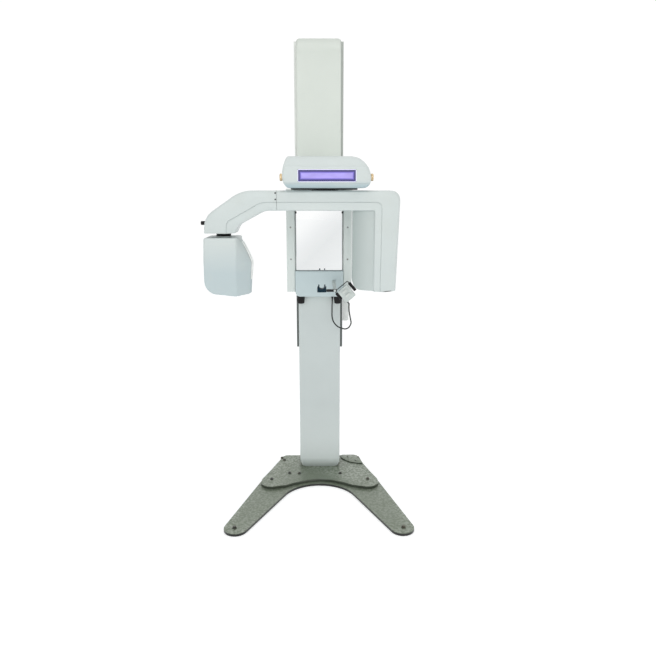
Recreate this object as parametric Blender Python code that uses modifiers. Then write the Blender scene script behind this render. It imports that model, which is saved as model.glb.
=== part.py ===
"""Panoramic dental X-ray machine on a floor stand.

Metres, +Z up. The origin is on the floor under the middle of the column, and the patient's side faces -Y.
A carriage slides on the column. It holds the mirror, the console, the chin rest and the overhead head,
and the arm with the X-ray tube head and the detector turns under the head.
"""
import math

import bmesh
import bpy
from mathutils import Matrix, Vector

# ---------------------------------------------------------------- driving dimensions
GAP = 0.0003                     # clearance between touching pieces

TOP_Z = 2.280                    # overall height
PLATE_T = 0.015                  # each of the two base plates
FOOT_Z = 2 * PLATE_T             # the column stands on the upper plate

LEG_TIP = (0.390, -0.680)        # middle of a leg's round end
LEG_TIP_R = 0.057
LEG_SHOULDER = (0.316, -0.205)   # where a leg leaves the upper plate, outside
LEG_BACK = (0.235, 0.045)
ARCH_Y = -0.4475                 # centre of the round arch between the legs
ARCH_R = 0.1975

TIP_BOLT = (0.396, -0.686)
BOLT_R = 0.006
BOLT_HEAD = (0.011, 0.0075)      # half the width over the corners, and the height
WASHER = (0.0145, 0.0025)        # radius and thickness

COLUMN_HALF = 0.111              # half the width of the column's covers
COLUMN_FRONT_Y = -0.075
COLUMN_BACK_Y = 0.075
SLOT_Y = (0.0500, 0.0610)        # side slot between the covers, for the lift yoke
COVER_T = 0.002
CHANNEL_T = 0.004
CHANNEL_BACK_Y = 0.045
CAP_H = 0.022

RAIL_BOTTOM_Z = 0.7215
RAIL_TOP_Z = TOP_Z - 0.006
RAIL_T = 0.0122
RAIL_HALF_Y = 0.040
GROOVE = (0.004, 0.010)          # depth and half width of the groove in a rail

STRIP_IN = 0.1245                # carriage side covers, inner and outer X
STRIP_OUT = 0.168
STRIP_Z = (1.040, 1.566)
CARRIAGE_FRONT_Y = -0.125
FRAME_WEB_Y = -0.084
FRAME_T = 0.0045
FRAME_HALF = 0.145
CARRIAGE_BACK_Y = 0.067

MIRROR_HALF = 0.121
MIRROR_Z = (1.152, 1.462)
CONSOLE_Z = (1.015, 1.1495)
CONSOLE_FRONT_Y = -0.135

ACTUATOR_XY = (0.0, 0.012)
ACTUATOR_Z = (0.085, 0.985)
ROD_Z = (0.420, 1.330)
ROD_R = 0.0135

MIDDLE = (0.0, 0.0)              # the column's middle
AXIS = (0.030, -0.500)           # the arm turns about this vertical line
HEAD_Z = (1.5675, 1.702)
HEAD_FRONT_Y = -0.622
HEAD_BACK_Y = -0.0886
HEAD_MIDDLE_X = 0.037
HEAD_SEAM_Z = 1.586
HEAD_WALL = 0.003
CEILING_SLOPE = 0.02             # what is left of the rise above a section's ceiling
RIM_LIFT = 0.003                 # rounding of the front rim at the head's foot
RIM_REACH = 0.030
KNOB_Y_FRONT = HEAD_FRONT_Y + 0.040
BEAM_Z = (1.620, 1.645)          # cantilever beam inside the head
HUB_R = 0.0445
DRUM_R = 0.068
WHEEL_R = 0.017
WHEEL_Y = AXIS[1] + DRUM_R + WHEEL_R + 0.0004

WINDOW_X = (-0.084, 0.160)
WINDOW_Z = (1.595, 1.643)
KNOB_Z = 1.613

ARM_Z = (1.471, 1.558)
ARM_HALF = 0.080
ARM_WALL = 0.003
SEAM_X = -0.180                  # between the beam and the tube side's cover
DETECTOR_IN = 0.153
DETECTOR_BOTTOM_Z = 1.118

SWIVEL = (-0.4255, -0.500)       # the tube head turns about this vertical line
TUBE_ARM_BOTTOM_Z = 1.374
TUBE_Z = (1.097, 1.3552)
TUBE_X = (-0.505, -0.361)
TUBE_Y = (-0.600, -0.400)
TUBE_WALL = 0.003
TUBE_CORNER = 0.010
NOSE = 0.063                     # how far the nose stands out towards the patient
NOSE_HALF = 0.030                # half the width of the nose's crowned ridge
NOSE_CROWN = 0.0054              # how much the ridge falls off at its sides
NOSE_FALL = 0.07                 # how fast the nose draws back below its widest height
NOSE_STEPS = ((1.340, 0.286), (1.308, 0.556), (1.2765, 0.794), (1.250, 0.960), (1.238, 1.0))
TUBE_FOOT = (                    # height at the outer side, outer X, height at the inner side, inset
    (1.1650, -0.5050, 1.1650, 0.0), (1.1445, -0.5015, 1.1430, 0.0), (1.1264, -0.4910, 1.1200, 0.0),
    (1.1130, -0.4750, 1.1045, 0.0), (1.1095, -0.4680, 1.0998, 0.0012), (1.1076, -0.4590, 1.0976, 0.0045),
    (1.1070, -0.4500, 1.0970, 0.0090),
)
COLLAR_R = 0.033
PIN_R = 0.012

CHIN_XYZ = (0.0144, -0.420, 1.1010)
CHIN_PIVOT = (0.0760, -0.410, 1.0950)

PAD_CENTRE = (0.1385, -0.250, 1.0525)
PAD_TILT = math.radians(40.0)
PAD_SIZE = (0.061, 0.024, 0.071)

BUTTON_TRAVEL = 0.0015
BAIL_X = (-0.0388, 0.0435)
BAIL_FEET = (-0.0060, -0.0160)   # lower ends of the two grips
GRIP_R = 0.0078
PAD_LEAD_X = -0.0240
RELIEF_TIP = -0.0066

ARM_CORNER = 0.012               # rounding of the arm's outer edges
LOCK_X = -0.5024                 # lock knob on the bent arm's outer side
LOCK_Z = 1.4155
LOCK_R = 0.0090
LOCK_LENGTH = 0.0239
KNOB_LEFT_X = -0.1530            # brass knobs on the head's sides
KNOB_RIGHT_X = 0.2262

KNOB_X = 0.0972                  # ribbed knobs under the console
KNOB_Y = -0.1065

LEAD_DIAMETER = 0.007
LEAD_ROUTE = [
    (0.0680, -0.1080, 0.9905), (0.0679, -0.1082, 0.9820), (0.0669, -0.1145, 0.9623),
    (0.0666, -0.1234, 0.9371), (0.0670, -0.1339, 0.9097), (0.0717, -0.1425, 0.8895),
    (0.0805, -0.1495, 0.8754), (0.0956, -0.1583, 0.8618), (0.1148, -0.1671, 0.8552),
    (0.1318, -0.1747, 0.8521), (0.1472, -0.1817, 0.8574), (0.1577, -0.1883, 0.8696),
    (0.1640, -0.1965, 0.8890), (0.1609, -0.2048, 0.9093), (0.1570, -0.2142, 0.9312),
    (0.1530, -0.2240, 0.9531), (0.1512, -0.2340, 0.9720), (0.1506, -0.2430, 0.9870),
    (0.1511, -0.2485, 0.9955), (0.1504, -0.2500, 1.0010), (0.1478, -0.2500, 1.0041),
]

# ---------------------------------------------------------------- materials: colour, roughness, metallic
FINISHES = {
    "white_paint": ((0.800, 0.830, 0.810), 0.38, 0.0),
    "grey_paint": ((0.560, 0.590, 0.570), 0.45, 0.0),
    "hammertone": ((0.130, 0.155, 0.140), 0.42, 0.3),
    "zinc_steel": ((0.560, 0.570, 0.580), 0.35, 1.0),
    "dark_rail": ((0.120, 0.125, 0.125), 0.40, 0.6),
    "aluminium": ((0.680, 0.690, 0.700), 0.40, 1.0),
    "cast_alloy": ((0.420, 0.430, 0.440), 0.50, 0.9),
    "black_plastic": ((0.018, 0.018, 0.020), 0.50, 0.0),
    "grey_plastic": ((0.620, 0.650, 0.640), 0.45, 0.0),
    "keypad_plastic": ((0.720, 0.750, 0.740), 0.50, 0.0),
    "chin_plastic": ((0.010, 0.070, 0.110), 0.35, 0.0),
    "brass": ((0.560, 0.340, 0.130), 0.35, 0.9),
    "mirror_glass": ((0.900, 0.930, 0.930), 0.03, 1.0),
    "lamp_window": ((0.330, 0.220, 0.900), 0.20, 0.0),
    "tube_glass": ((0.700, 0.780, 0.800), 0.08, 0.0),
    "tank_steel": ((0.250, 0.260, 0.280), 0.50, 0.8),
    "rubber": ((0.030, 0.030, 0.032), 0.75, 0.0),
    "lead_jacket": ((0.045, 0.047, 0.050), 0.55, 0.0),
}

TURNS = {                        # turns a shape's +Z onto an axis
    "X": Matrix.Rotation(math.radians(90.0), 3, "Y"),
    "Y": Matrix.Rotation(math.radians(-90.0), 3, "X"),
    "Z": Matrix.Identity(3),
}

PARTS = None                     # collection of the machine's pieces
CUTTERS = None                   # collection of the cutting shapes


def clear_scene():
    for item in list(bpy.data.objects):
        bpy.data.objects.remove(item, do_unlink=True)


def new_collection(name):
    group = bpy.data.collections.new(name)
    bpy.context.scene.collection.children.link(group)
    return group


def finish_of(name):
    """The material called name, made on its first use."""
    known = bpy.data.materials.get(name)
    if known:
        return known
    colour, roughness, metallic = FINISHES[name]
    made = bpy.data.materials.new(name)
    made.use_nodes = True
    shader = made.node_tree.nodes["Principled BSDF"]
    shader.inputs["Base Color"].default_value = (*colour, 1.0)
    shader.inputs["Roughness"].default_value = roughness
    shader.inputs["Metallic"].default_value = metallic
    return made


def axis_empty(name, location, parent=None):
    """An empty on a joint's axis. Its location is given in world metres."""
    empty = bpy.data.objects.new(name, None)
    empty.empty_display_size = 0.05
    PARTS.objects.link(empty)
    empty.parent = parent
    empty.location = Vector(location) - world_of(parent)
    empty["world"] = tuple(location)
    return empty


def world_of(parent):
    return Vector(parent["world"]) if parent else Vector((0.0, 0.0, 0.0))


def add_part(name, data, finish, origin, parent, local=False):
    """Puts one piece in the scene. Its geometry is in world metres, or in its parent's when local."""
    origin = Vector(origin)
    data.transform(Matrix.Translation(-origin))
    data.name = name
    part = bpy.data.objects.new(name, data)
    data.materials.append(finish_of(finish))
    PARTS.objects.link(part)
    part.parent = parent
    part.location = origin if local else origin - world_of(parent)
    return part


def mesh_from(shape, smooth=True):
    """Turns a bmesh into a mesh, shaded smooth up to 35 degrees."""
    data = bpy.data.meshes.new("shape")
    shape.to_mesh(data)
    shape.free()
    if smooth:
        data.shade_smooth()
        data.set_sharp_from_angle(angle=math.radians(35.0))
    return data


def box_shape(low, high):
    shape = bmesh.new()
    bmesh.ops.create_cube(shape, size=1.0)
    low = Vector(low)
    high = Vector(high)
    size = high - low
    bmesh.ops.scale(shape, vec=size, verts=shape.verts)
    bmesh.ops.translate(shape, vec=(low + high) / 2, verts=shape.verts)
    return shape


def rod_shape(start, length, radius, axis="Z", sides=32, end_radius=None):
    """A round bar from start along +axis."""
    shape = bmesh.new()
    bmesh.ops.create_cone(
        shape,
        cap_ends=True,
        segments=sides,
        radius1=radius,
        radius2=radius if end_radius is None else end_radius,
        depth=length,
    )
    bmesh.ops.translate(shape, vec=(0.0, 0.0, length / 2), verts=shape.verts)
    bmesh.ops.rotate(shape, cent=(0.0, 0.0, 0.0), matrix=TURNS[axis], verts=shape.verts)
    bmesh.ops.translate(shape, vec=start, verts=shape.verts)
    return shape


def loft_shape(rings, start_cap=True, end_cap=True):
    """A skin over rings that have the same number of points."""
    shape = bmesh.new()
    loops = [[shape.verts.new(point) for point in ring] for ring in rings]
    for near, far in zip(loops, loops[1:]):
        for i in range(len(near)):
            j = (i + 1) % len(near)
            shape.faces.new((near[i], near[j], far[j], far[i]))
    if start_cap:
        shape.faces.new(list(reversed(loops[0])))
    if end_cap:
        shape.faces.new(loops[-1])
    bmesh.ops.recalc_face_normals(shape, faces=shape.faces)
    return shape


def keep_side(shape, point, normal):
    """Cuts a skin open at a plane and keeps the side that the normal points away from."""
    everything = list(shape.verts) + list(shape.edges) + list(shape.faces)
    bmesh.ops.bisect_plane(shape, geom=everything, plane_co=point, plane_no=normal, clear_outer=True)
    return shape


def add_bevel(part, width, segments=2, angle=30.0):
    modifier = part.modifiers.new("edges", "BEVEL")
    modifier.width = width
    modifier.segments = segments
    modifier.limit_method = "ANGLE"
    modifier.angle_limit = math.radians(angle)
    return modifier


def add_wall(part, thickness):
    """Gives an open skin its wall, inwards."""
    modifier = part.modifiers.new("wall", "SOLIDIFY")
    modifier.thickness = thickness
    modifier.offset = -1.0
    modifier.use_even_offset = True
    return modifier


def add_cut(part, cutter_shape, operation="DIFFERENCE"):
    """Cuts a shape out of a part, or joins it on. The shape is in world metres."""
    data = mesh_from(cutter_shape, smooth=False)
    cutter = bpy.data.objects.new(part.name + "_cutter", data)
    CUTTERS.objects.link(cutter)
    cutter.hide_render = True
    cutter.display_type = "WIRE"
    modifier = part.modifiers.new("cut", "BOOLEAN")
    modifier.operation = operation
    modifier.solver = "EXACT"
    modifier.object = cutter
    return modifier


def turned_part(name, profile, finish, origin, parent, axis="Z", steps=32, local=False):
    """A turned piece. The profile is (radius, height) pairs from its top, down its side, to its foot."""
    data = bpy.data.meshes.new(name)
    points = [(radius, 0.0, height) for radius, height in profile]
    data.from_pydata(points, [(i, i + 1) for i in range(len(points) - 1)], [])
    part = add_part(name, data, finish, (0.0, 0.0, 0.0), parent, local)
    part.location = Vector(origin) if local else Vector(origin) - world_of(parent)
    part.rotation_euler = TURNS[axis].to_euler()
    screw = part.modifiers.new("turn", "SCREW")
    screw.axis = "Z"
    screw.steps = steps
    screw.render_steps = steps
    screw.use_merge_vertices = True
    screw.merge_threshold = 0.00001
    screw.use_smooth_shade = True
    return part


def plate_part(name, outline, z_low, z_high, finish, origin, parent):
    """A flat plate from an XY outline: a filled 2D curve with half its thickness as extrude."""
    curve = bpy.data.curves.new(name, "CURVE")
    curve.dimensions = "2D"
    curve.fill_mode = "BOTH"
    curve.extrude = (z_high - z_low) / 2
    spline = curve.splines.new("POLY")
    spline.points.add(len(outline) - 1)
    for point, (x, y) in zip(spline.points, outline):
        point.co = (x - origin[0], y - origin[1], 0.0, 1.0)
    spline.use_cyclic_u = True
    curve.materials.append(finish_of(finish))
    plate = bpy.data.objects.new(name, curve)
    PARTS.objects.link(plate)
    plate.parent = parent
    plate.location = Vector((origin[0], origin[1], (z_low + z_high) / 2)) - world_of(parent)
    return plate


def as_mesh(part):
    """Turns a curve piece into a mesh with welded caps, so that it can be cut."""
    bpy.context.view_layer.update()
    evaluated = part.evaluated_get(bpy.context.evaluated_depsgraph_get())
    data = bpy.data.meshes.new_from_object(evaluated)
    shape = bmesh.new()
    shape.from_mesh(data)
    bmesh.ops.remove_doubles(shape, verts=shape.verts, dist=0.00001)
    bmesh.ops.recalc_face_normals(shape, faces=shape.faces)
    shape.to_mesh(data)
    shape.free()
    name = part.name
    place = part.matrix_world.copy()
    parent = part.parent
    bpy.data.objects.remove(part, do_unlink=True)
    data.name = name
    solid = bpy.data.objects.new(name, data)
    PARTS.objects.link(solid)
    solid.parent = parent
    solid.location = place.translation - world_of(parent)
    return solid


def arc(centre, radius, start, end, count):
    """Points on an arc, angles in degrees, both ends included."""
    points = []
    for i in range(count):
        angle = math.radians(start + (end - start) * i / (count - 1))
        points.append((centre[0] + radius * math.cos(angle), centre[1] + radius * math.sin(angle)))
    return points


def mirrored(half):
    """Closes an outline that starts and ends on the plane X = 0 with its mirror image."""
    inner = [point for point in half if abs(point[0]) > 1e-9]
    return half + [(-x, y) for x, y in reversed(inner)]


# ---------------------------------------------------------------- floor stand
def base_lower_plate(stand):
    half = [(0.0, LEG_BACK[1])]
    half += arc((LEG_BACK[0] - 0.03, LEG_BACK[1] - 0.03), 0.03, 90.0, 20.0, 5)
    half += arc((LEG_SHOULDER[0] - 0.04, LEG_SHOULDER[1]), 0.04, 15.0, -10.0, 4)
    half += arc(LEG_TIP, LEG_TIP_R, 12.0, -155.0, 15)
    half += arc((0.0, ARCH_Y), ARCH_R, 24.9, 90.0, 10)
    outline = mirrored(half)
    plate = plate_part("base_lower_plate", outline, 0.0, PLATE_T - GAP, "hammertone", MIDDLE, stand)
    plate = as_mesh(plate)
    for x in (-TIP_BOLT[0], TIP_BOLT[0]):
        add_cut(plate, rod_shape((x, TIP_BOLT[1], -0.005), 0.03, BOLT_R + GAP, sides=16))
    add_bevel(plate, 0.0015, 1)


def base_upper_plate(stand):
    half = [(0.0, 0.070)]
    half += arc((0.190, 0.040), 0.030, 90.0, 25.0, 5)
    half += arc((0.255, -0.256), 0.060, 12.0, -118.0, 12)
    half += [(0.178, -0.296), (0.128, -0.266), (0.066, -0.238), (0.0, -0.228)]
    plate = plate_part(
        "base_upper_plate", mirrored(half), PLATE_T, FOOT_Z, "hammertone", (0.0, 0.0), stand
    )
    add_bevel(as_mesh(plate), 0.0015, 1)


def base_bolts(stand):
    y = TIP_BOLT[1]
    seat = PLATE_T
    washer_r, washer_t = WASHER
    for name, x in (("tip_bolt_left", -TIP_BOLT[0]), ("tip_bolt_right", TIP_BOLT[0])):
        profile = [
            (0.0, washer_t), (washer_r, washer_t), (washer_r, 0.0), (BOLT_R, 0.0), (BOLT_R, 0.0005 - seat),
            (0.0, 0.0005 - seat),
        ]
        bolt = turned_part(name, profile, "zinc_steel", (x, y, seat), stand, steps=24)
        head_r, head_h = BOLT_HEAD
        add_cut(bolt, rod_shape((x, y, seat + washer_t / 2), head_h, head_r, sides=6), "UNION")


# ---------------------------------------------------------------- column
def folded_sheet(face_y, edge_y):
    """Outline of a U-shaped cover with its face at face_y and its two free edges at edge_y."""
    half = COLUMN_HALF
    radius = 0.007
    way = 1 if edge_y > face_y else -1
    centre = (half - radius, face_y + way * radius)
    outer = arc(centre, radius, -90.0 * way, 0.0, 4)
    inner = arc(centre, radius - COVER_T, 0.0, -90.0 * way, 4)
    skin = outer + [(half, edge_y), (half - COVER_T, edge_y)] + inner
    return skin + [(-x, y) for x, y in reversed(skin)]


def column(stand):
    inner = COLUMN_HALF - COVER_T - GAP
    channel_front = COLUMN_FRONT_Y + COVER_T + GAP
    wall_x = inner - CHANNEL_T
    corner = 0.004
    half = [
        (inner - corner, channel_front), (inner, channel_front + corner), (inner, CHANNEL_BACK_Y),
        (wall_x, CHANNEL_BACK_Y), (wall_x, channel_front + 2 * corner),
        (wall_x - corner, channel_front + corner),
    ]
    outline = half + [(-x, y) for x, y in reversed(half)]
    plate_part("column_channel", outline, FOOT_Z + GAP, TOP_Z - CAP_H - GAP, "cast_alloy", MIDDLE, stand)

    cover_top = TOP_Z - CAP_H
    outline = folded_sheet(COLUMN_FRONT_Y, SLOT_Y[0])
    plate_part("column_front_cover", outline, FOOT_Z + GAP, cover_top, "white_paint", MIDDLE, stand)
    outline = folded_sheet(COLUMN_BACK_Y, SLOT_Y[1])
    rear = plate_part("column_rear_cover", outline, FOOT_Z + GAP, cover_top, "white_paint", MIDDLE, stand)
    rear = as_mesh(rear)
    add_cut(rear, box_shape((-0.016, 0.06, 0.108), (0.016, 0.09, 0.132)))


def column_cap(stand):
    """Rounded lid that closes the column's top."""
    half = COLUMN_HALF
    low = TOP_Z - CAP_H + GAP
    radius = 0.018
    side = [(half, low)] + arc((half - radius, TOP_Z - radius), radius, 0.0, 90.0, 6)
    ring = side + [(-x, z) for x, z in reversed(side)]
    rings = []
    for y, inset in ((COLUMN_FRONT_Y, 0.002), (COLUMN_FRONT_Y + 0.002, 0.0), (COLUMN_BACK_Y - 0.002, 0.0),
                     (COLUMN_BACK_Y, 0.002)):
        rings.append([(x * (1 - inset / half), y, z - inset * (z > low + 0.001)) for x, z in ring])
    return add_part("column_top_cap", mesh_from(loft_shape(rings)), "white_paint", (0.0, 0.0, low), stand)


def rails(stand):
    depth, half_width = GROOVE
    for side, name in ((-1, "guide_rail_left"), (1, "guide_rail_right")):
        near = COLUMN_HALF + GAP
        far = near + RAIL_T
        outline = [
            (near, -RAIL_HALF_Y), (far, -RAIL_HALF_Y), (far, -half_width), (far - depth, -half_width),
            (far - depth, half_width), (far, half_width), (far, RAIL_HALF_Y), (near, RAIL_HALF_Y),
        ]
        if side < 0:
            outline = [(-x, y) for x, y in reversed(outline)]
        plate_part(name, outline, RAIL_BOTTOM_Z, RAIL_TOP_Z, "dark_rail", (side * near, 0.0), stand)


def column_inside(stand):
    x, y = ACTUATOR_XY
    low, high = ACTUATOR_Z
    outer_r = 0.024
    bore_r = ROD_R + 0.0008
    profile = [
        (bore_r, high), (outer_r, high), (outer_r, low), (bore_r, low), (bore_r, high),
    ]
    turned_part("lift_actuator", profile, "aluminium", (x, y, 0.0), stand, steps=24)
    motor = mesh_from(rod_shape((x, y, FOOT_Z + 0.0006), low - FOOT_Z - 0.0012, 0.036, sides=32))
    motor_part = add_part("lift_motor", motor, "black_plastic", (x, y, FOOT_Z), stand)
    add_bevel(motor_part, 0.003, 2)
    supply = mesh_from(box_shape((-0.070, -0.0683, 1.960), (0.070, -0.0200, 2.200)))
    supply_part = add_part("power_supply", supply, "aluminium", (0.0, -0.045, 2.080), stand)
    add_bevel(supply_part, 0.003, 1)
    inlet = box_shape((-0.0157, 0.0600, 0.1083), (0.0157, 0.0762, 0.1317))
    inlet_part = add_part("mains_inlet", mesh_from(inlet), "black_plastic", (0.0, 0.068, 0.120), stand)
    add_cut(inlet_part, box_shape((-0.0110, 0.0640, 0.1125), (0.0110, 0.0800, 0.1275)))


# ---------------------------------------------------------------- carriage
def carriage_frame(carriage):
    """U-shaped sheet frame around the column's front and sides."""
    inner = FRAME_HALF - FRAME_T
    web_back = FRAME_WEB_Y + FRAME_T
    outline = [
        (-FRAME_HALF, FRAME_WEB_Y), (FRAME_HALF, FRAME_WEB_Y), (FRAME_HALF, CARRIAGE_BACK_Y - 0.002),
        (inner, CARRIAGE_BACK_Y - 0.002), (inner, web_back), (-inner, web_back),
        (-inner, CARRIAGE_BACK_Y - 0.002), (-FRAME_HALF, CARRIAGE_BACK_Y - 0.002),
    ]
    plate_part("carriage_frame", outline, 1.046, 1.690, "cast_alloy", (0.0, FRAME_WEB_Y), carriage)


def lift_parts(carriage):
    inner = FRAME_HALF - FRAME_T - GAP
    bar = (SLOT_Y[0] + 0.0025, SLOT_Y[1] - 0.0025)
    outline = [
        (-inner, bar[0]), (-0.020, bar[0]), (-0.020, -0.006), (0.020, -0.006), (0.020, bar[0]),
        (inner, bar[0]), (inner, bar[1]), (-inner, bar[1]),
    ]
    top = ROD_Z[1] + GAP
    plate_part("lift_yoke", outline, top, top + 0.030, "zinc_steel", (0.0, bar[0]), carriage)
    x, y = ACTUATOR_XY
    rod = mesh_from(rod_shape((x, y, ROD_Z[0]), ROD_Z[1] - ROD_Z[0], ROD_R, sides=24))
    add_part("lift_rod", rod, "zinc_steel", (x, y, ROD_Z[0]), carriage)


def guide_shoes(carriage):
    """Long sliding blocks between the frame and the rails, with a tongue in the rail's groove."""
    depth, half_width = GROOVE
    rail_face = COLUMN_HALF + GAP + RAIL_T
    far = FRAME_HALF - FRAME_T - GAP
    tongue = rail_face - depth + 0.0006
    for side, name in ((-1, "guide_shoe_left"), (1, "guide_shoe_right")):
        near = rail_face + 0.0004
        outline = [
            (near, -0.030), (far, -0.030), (far, 0.030), (near, 0.030), (near, half_width - 0.0005),
            (tongue, half_width - 0.0005), (tongue, 0.0005 - half_width), (near, 0.0005 - half_width),
        ]
        if side < 0:
            outline = [(-x, y) for x, y in reversed(outline)]
        plate_part(name, outline, 1.100, 1.300, "black_plastic", (side * near, 0.0), carriage)


def side_covers(carriage):
    """Cover strips on both sides of the mirror, open at the back."""
    for side, name in ((-1, "side_cover_left"), (1, "side_cover_right")):
        low, high = sorted((side * STRIP_IN, side * STRIP_OUT))
        shape = box_shape((low, CARRIAGE_FRONT_Y, STRIP_Z[0]), (high, CARRIAGE_BACK_Y, STRIP_Z[1]))
        upright = [
            edge for edge in shape.edges
            if all(v.co.y < 0 for v in edge.verts) and abs(edge.verts[0].co.z - edge.verts[1].co.z) > 0.1
        ]
        bmesh.ops.bevel(shape, geom=upright, offset=0.006, segments=3, profile=0.5, affect="EDGES")
        back = [face for face in shape.faces if face.calc_center_median().y > CARRIAGE_BACK_Y - 0.001]
        bmesh.ops.delete(shape, geom=back, context="FACES")
        corner = (side * STRIP_IN, CARRIAGE_FRONT_Y, STRIP_Z[0])
        cover = add_part(name, mesh_from(shape), "white_paint", corner, carriage)
        add_wall(cover, 0.0022)
        reach = sorted((side * (STRIP_IN - 0.005), side * (FRAME_HALF + 0.0005)))
        add_cut(cover, box_shape((reach[0], FRAME_WEB_Y - 0.0005, 1.0), (reach[1], 0.1, 1.60)))


def mirror_parts(carriage):
    tray_low = CONSOLE_Z[1] + 0.0005
    edge = STRIP_IN - GAP
    tray = mesh_from(box_shape((-edge, -0.1150, tray_low), (edge, FRAME_WEB_Y - GAP, STRIP_Z[1])))
    part = add_part("mirror_tray", tray, "grey_plastic", (0.0, -0.1, tray_low), carriage)
    hollow = edge - 0.008
    add_cut(part, box_shape((-hollow, -0.1120, tray_low + 0.008), (hollow, -0.05, STRIP_Z[1] - 0.008)))
    glass = mesh_from(
        box_shape((-MIRROR_HALF, -0.1195, MIRROR_Z[0]), (MIRROR_HALF, -0.1150 - GAP, MIRROR_Z[1])), smooth=False
    )
    add_part("mirror", glass, "mirror_glass", (0.0, -0.1195, MIRROR_Z[0]), carriage)


def console(carriage):
    """Cover of the console below the mirror, open at the back, with its lower corners cut away."""
    low, high = CONSOLE_Z
    edge = STRIP_IN - GAP
    corner = 0.024
    side = [(edge, high), (edge, low + corner)] + arc((edge - corner, low + corner), corner, -15.0, -90.0, 5)
    ring = side + [(-x, z) for x, z in reversed(side)]
    back_y = FRAME_WEB_Y - GAP
    rings = [[(x, back_y, z) for x, z in ring], [(x, CONSOLE_FRONT_Y + 0.006, z) for x, z in ring]]
    middle = (low + high) / 2
    for y, inset in ((CONSOLE_FRONT_Y + 0.0018, 0.0018), (CONSOLE_FRONT_Y, 0.006)):
        rings.append([
            (x * (1 - inset / edge), y, middle + (z - middle) * (1 - inset / (high - middle))) for x, z in ring
        ])
    shape = loft_shape(rings, start_cap=False)
    part = add_part("console_cover", mesh_from(shape), "white_paint", (0.0, CONSOLE_FRONT_Y, low), carriage)
    add_wall(part, 0.0025)
    for x in (-KNOB_X, KNOB_X):
        add_cut(part, rod_shape((x, KNOB_Y, low - 0.01), 0.03, 0.0056, sides=16))
    x, y, _ = LEAD_ROUTE[0]
    add_cut(part, rod_shape((x, y, low - 0.01), 0.03, 0.0050, sides=16))


def guard_plate(carriage):
    """Pale plate behind the console's right side that keeps hands off the lift's wiring."""
    plate = box_shape((0.1272, 0.0300, 0.852), (0.1600, 0.0330, 1.0392))
    part = add_part("wiring_guard", mesh_from(plate), "grey_plastic", (0.143, 0.031, 1.0392), carriage)
    add_cut(part, box_shape((0.1380, 0.0200, 1.0100), (0.1402, 0.0500, 1.0500)))
    add_bevel(part, 0.0008, 1)


# ---------------------------------------------------------------- overhead head
def head_outline():
    """Front outline of the head, (x, z), from its lower left round its top to its lower right."""
    low, high = HEAD_Z
    left = [(-0.1220, low), (-0.1340, 1.5720), (-0.1470, 1.5900), (-0.1523, 1.6120), (-0.1510, 1.6400),
            (-0.1445, 1.6720), (-0.1370, 1.6940), (-0.1270, high)]
    right = [(0.1450, high), (0.1790, 1.6920), (0.2044, 1.6680), (0.2200, 1.6380), (0.2256, 1.6110),
             (0.2220, 1.5880), (0.2080, 1.5720), (0.1900, low)]
    return left + right


def head_ring(y, middle_x, width, height, ceiling):
    """The outline at depth y, scaled about its foot and nearly flat above the ceiling's height."""
    low = HEAD_Z[0]
    ring = []
    for x, z in head_outline():
        up = low + (z - low) * height
        over = max(0.0, up - ceiling)
        ring.append((middle_x + (x - HEAD_MIDDLE_X) * width, y, up - over * (1 - CEILING_SLOPE)))
    return ring


def head_skin():
    """Skin of the head from its front back to the carriage. Its front rim is stepped in on all sides."""
    front = HEAD_FRONT_Y
    high = HEAD_Z[1]
    stations = [
        (front, HEAD_MIDDLE_X, 0.955, 0.955, 1.6500),
        (front + 0.003, HEAD_MIDDLE_X, 0.985, 0.985, 1.6565),
        (front + 0.010, HEAD_MIDDLE_X, 1.000, 1.000, 1.6620),
        (front + 0.055, HEAD_MIDDLE_X, 1.000, 1.000, high),
        (AXIS[1] + 0.100, 0.033, 0.960, 1.000, high),
        (-0.200, 0.010, 0.780, 0.960, high),
        (HEAD_BACK_Y, 0.000, 0.700, 0.910, high),
    ]
    rings = [head_ring(*station) for station in stations]
    rings[0] = [(x, y, z + foot_lift(z)) for x, y, z in rings[0]]
    return loft_shape(rings, end_cap=False)


def foot_lift(z):
    """How far the front rim is lifted, most at the head's foot."""
    return RIM_LIFT * max(0.0, 1 - (z - HEAD_Z[0]) / RIM_REACH)


def head_covers(carriage):
    origin = (HEAD_MIDDLE_X, HEAD_BACK_Y, HEAD_SEAM_Z)
    upper = keep_side(head_skin(), (0.0, 0.0, HEAD_SEAM_Z + GAP / 2), (0.0, 0.0, -1.0))
    part = add_part("head_upper_cover", mesh_from(upper), "white_paint", origin, carriage)
    add_wall(part, HEAD_WALL)
    add_cut(part, box_shape((WINDOW_X[0], -0.7, WINDOW_Z[0]), (WINDOW_X[1], -0.6, WINDOW_Z[1])))
    add_cut(part, rod_shape((-0.2, KNOB_Y_FRONT, KNOB_Z), 0.5, 0.0046, axis="X", sides=16))
    lower = keep_side(head_skin(), (0.0, 0.0, HEAD_SEAM_Z + 0.004), (0.0, 0.0, 1.0))
    part = add_part("head_lower_cover", mesh_from(lower), "white_paint", origin, carriage)
    add_wall(part, HEAD_WALL)
    add_cut(part, box_shape((-0.3, -0.7, HEAD_SEAM_Z - GAP / 2), (0.3, 0.0, HEAD_Z[1])))
    add_cut(part, rod_shape((AXIS[0], AXIS[1], 1.5), 0.08, HUB_R + 0.004, sides=48))
    window = box_shape(
        (WINDOW_X[0] + GAP, HEAD_FRONT_Y - 0.0008, WINDOW_Z[0] + GAP),
        (WINDOW_X[1] - GAP, HEAD_FRONT_Y + 0.0060, WINDOW_Z[1] - GAP),
    )
    centre = (HEAD_MIDDLE_X, HEAD_FRONT_Y, KNOB_Z)
    lens = add_part("head_window", mesh_from(window), "lamp_window", centre, carriage)
    add_bevel(lens, 0.0006, 1)


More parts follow.
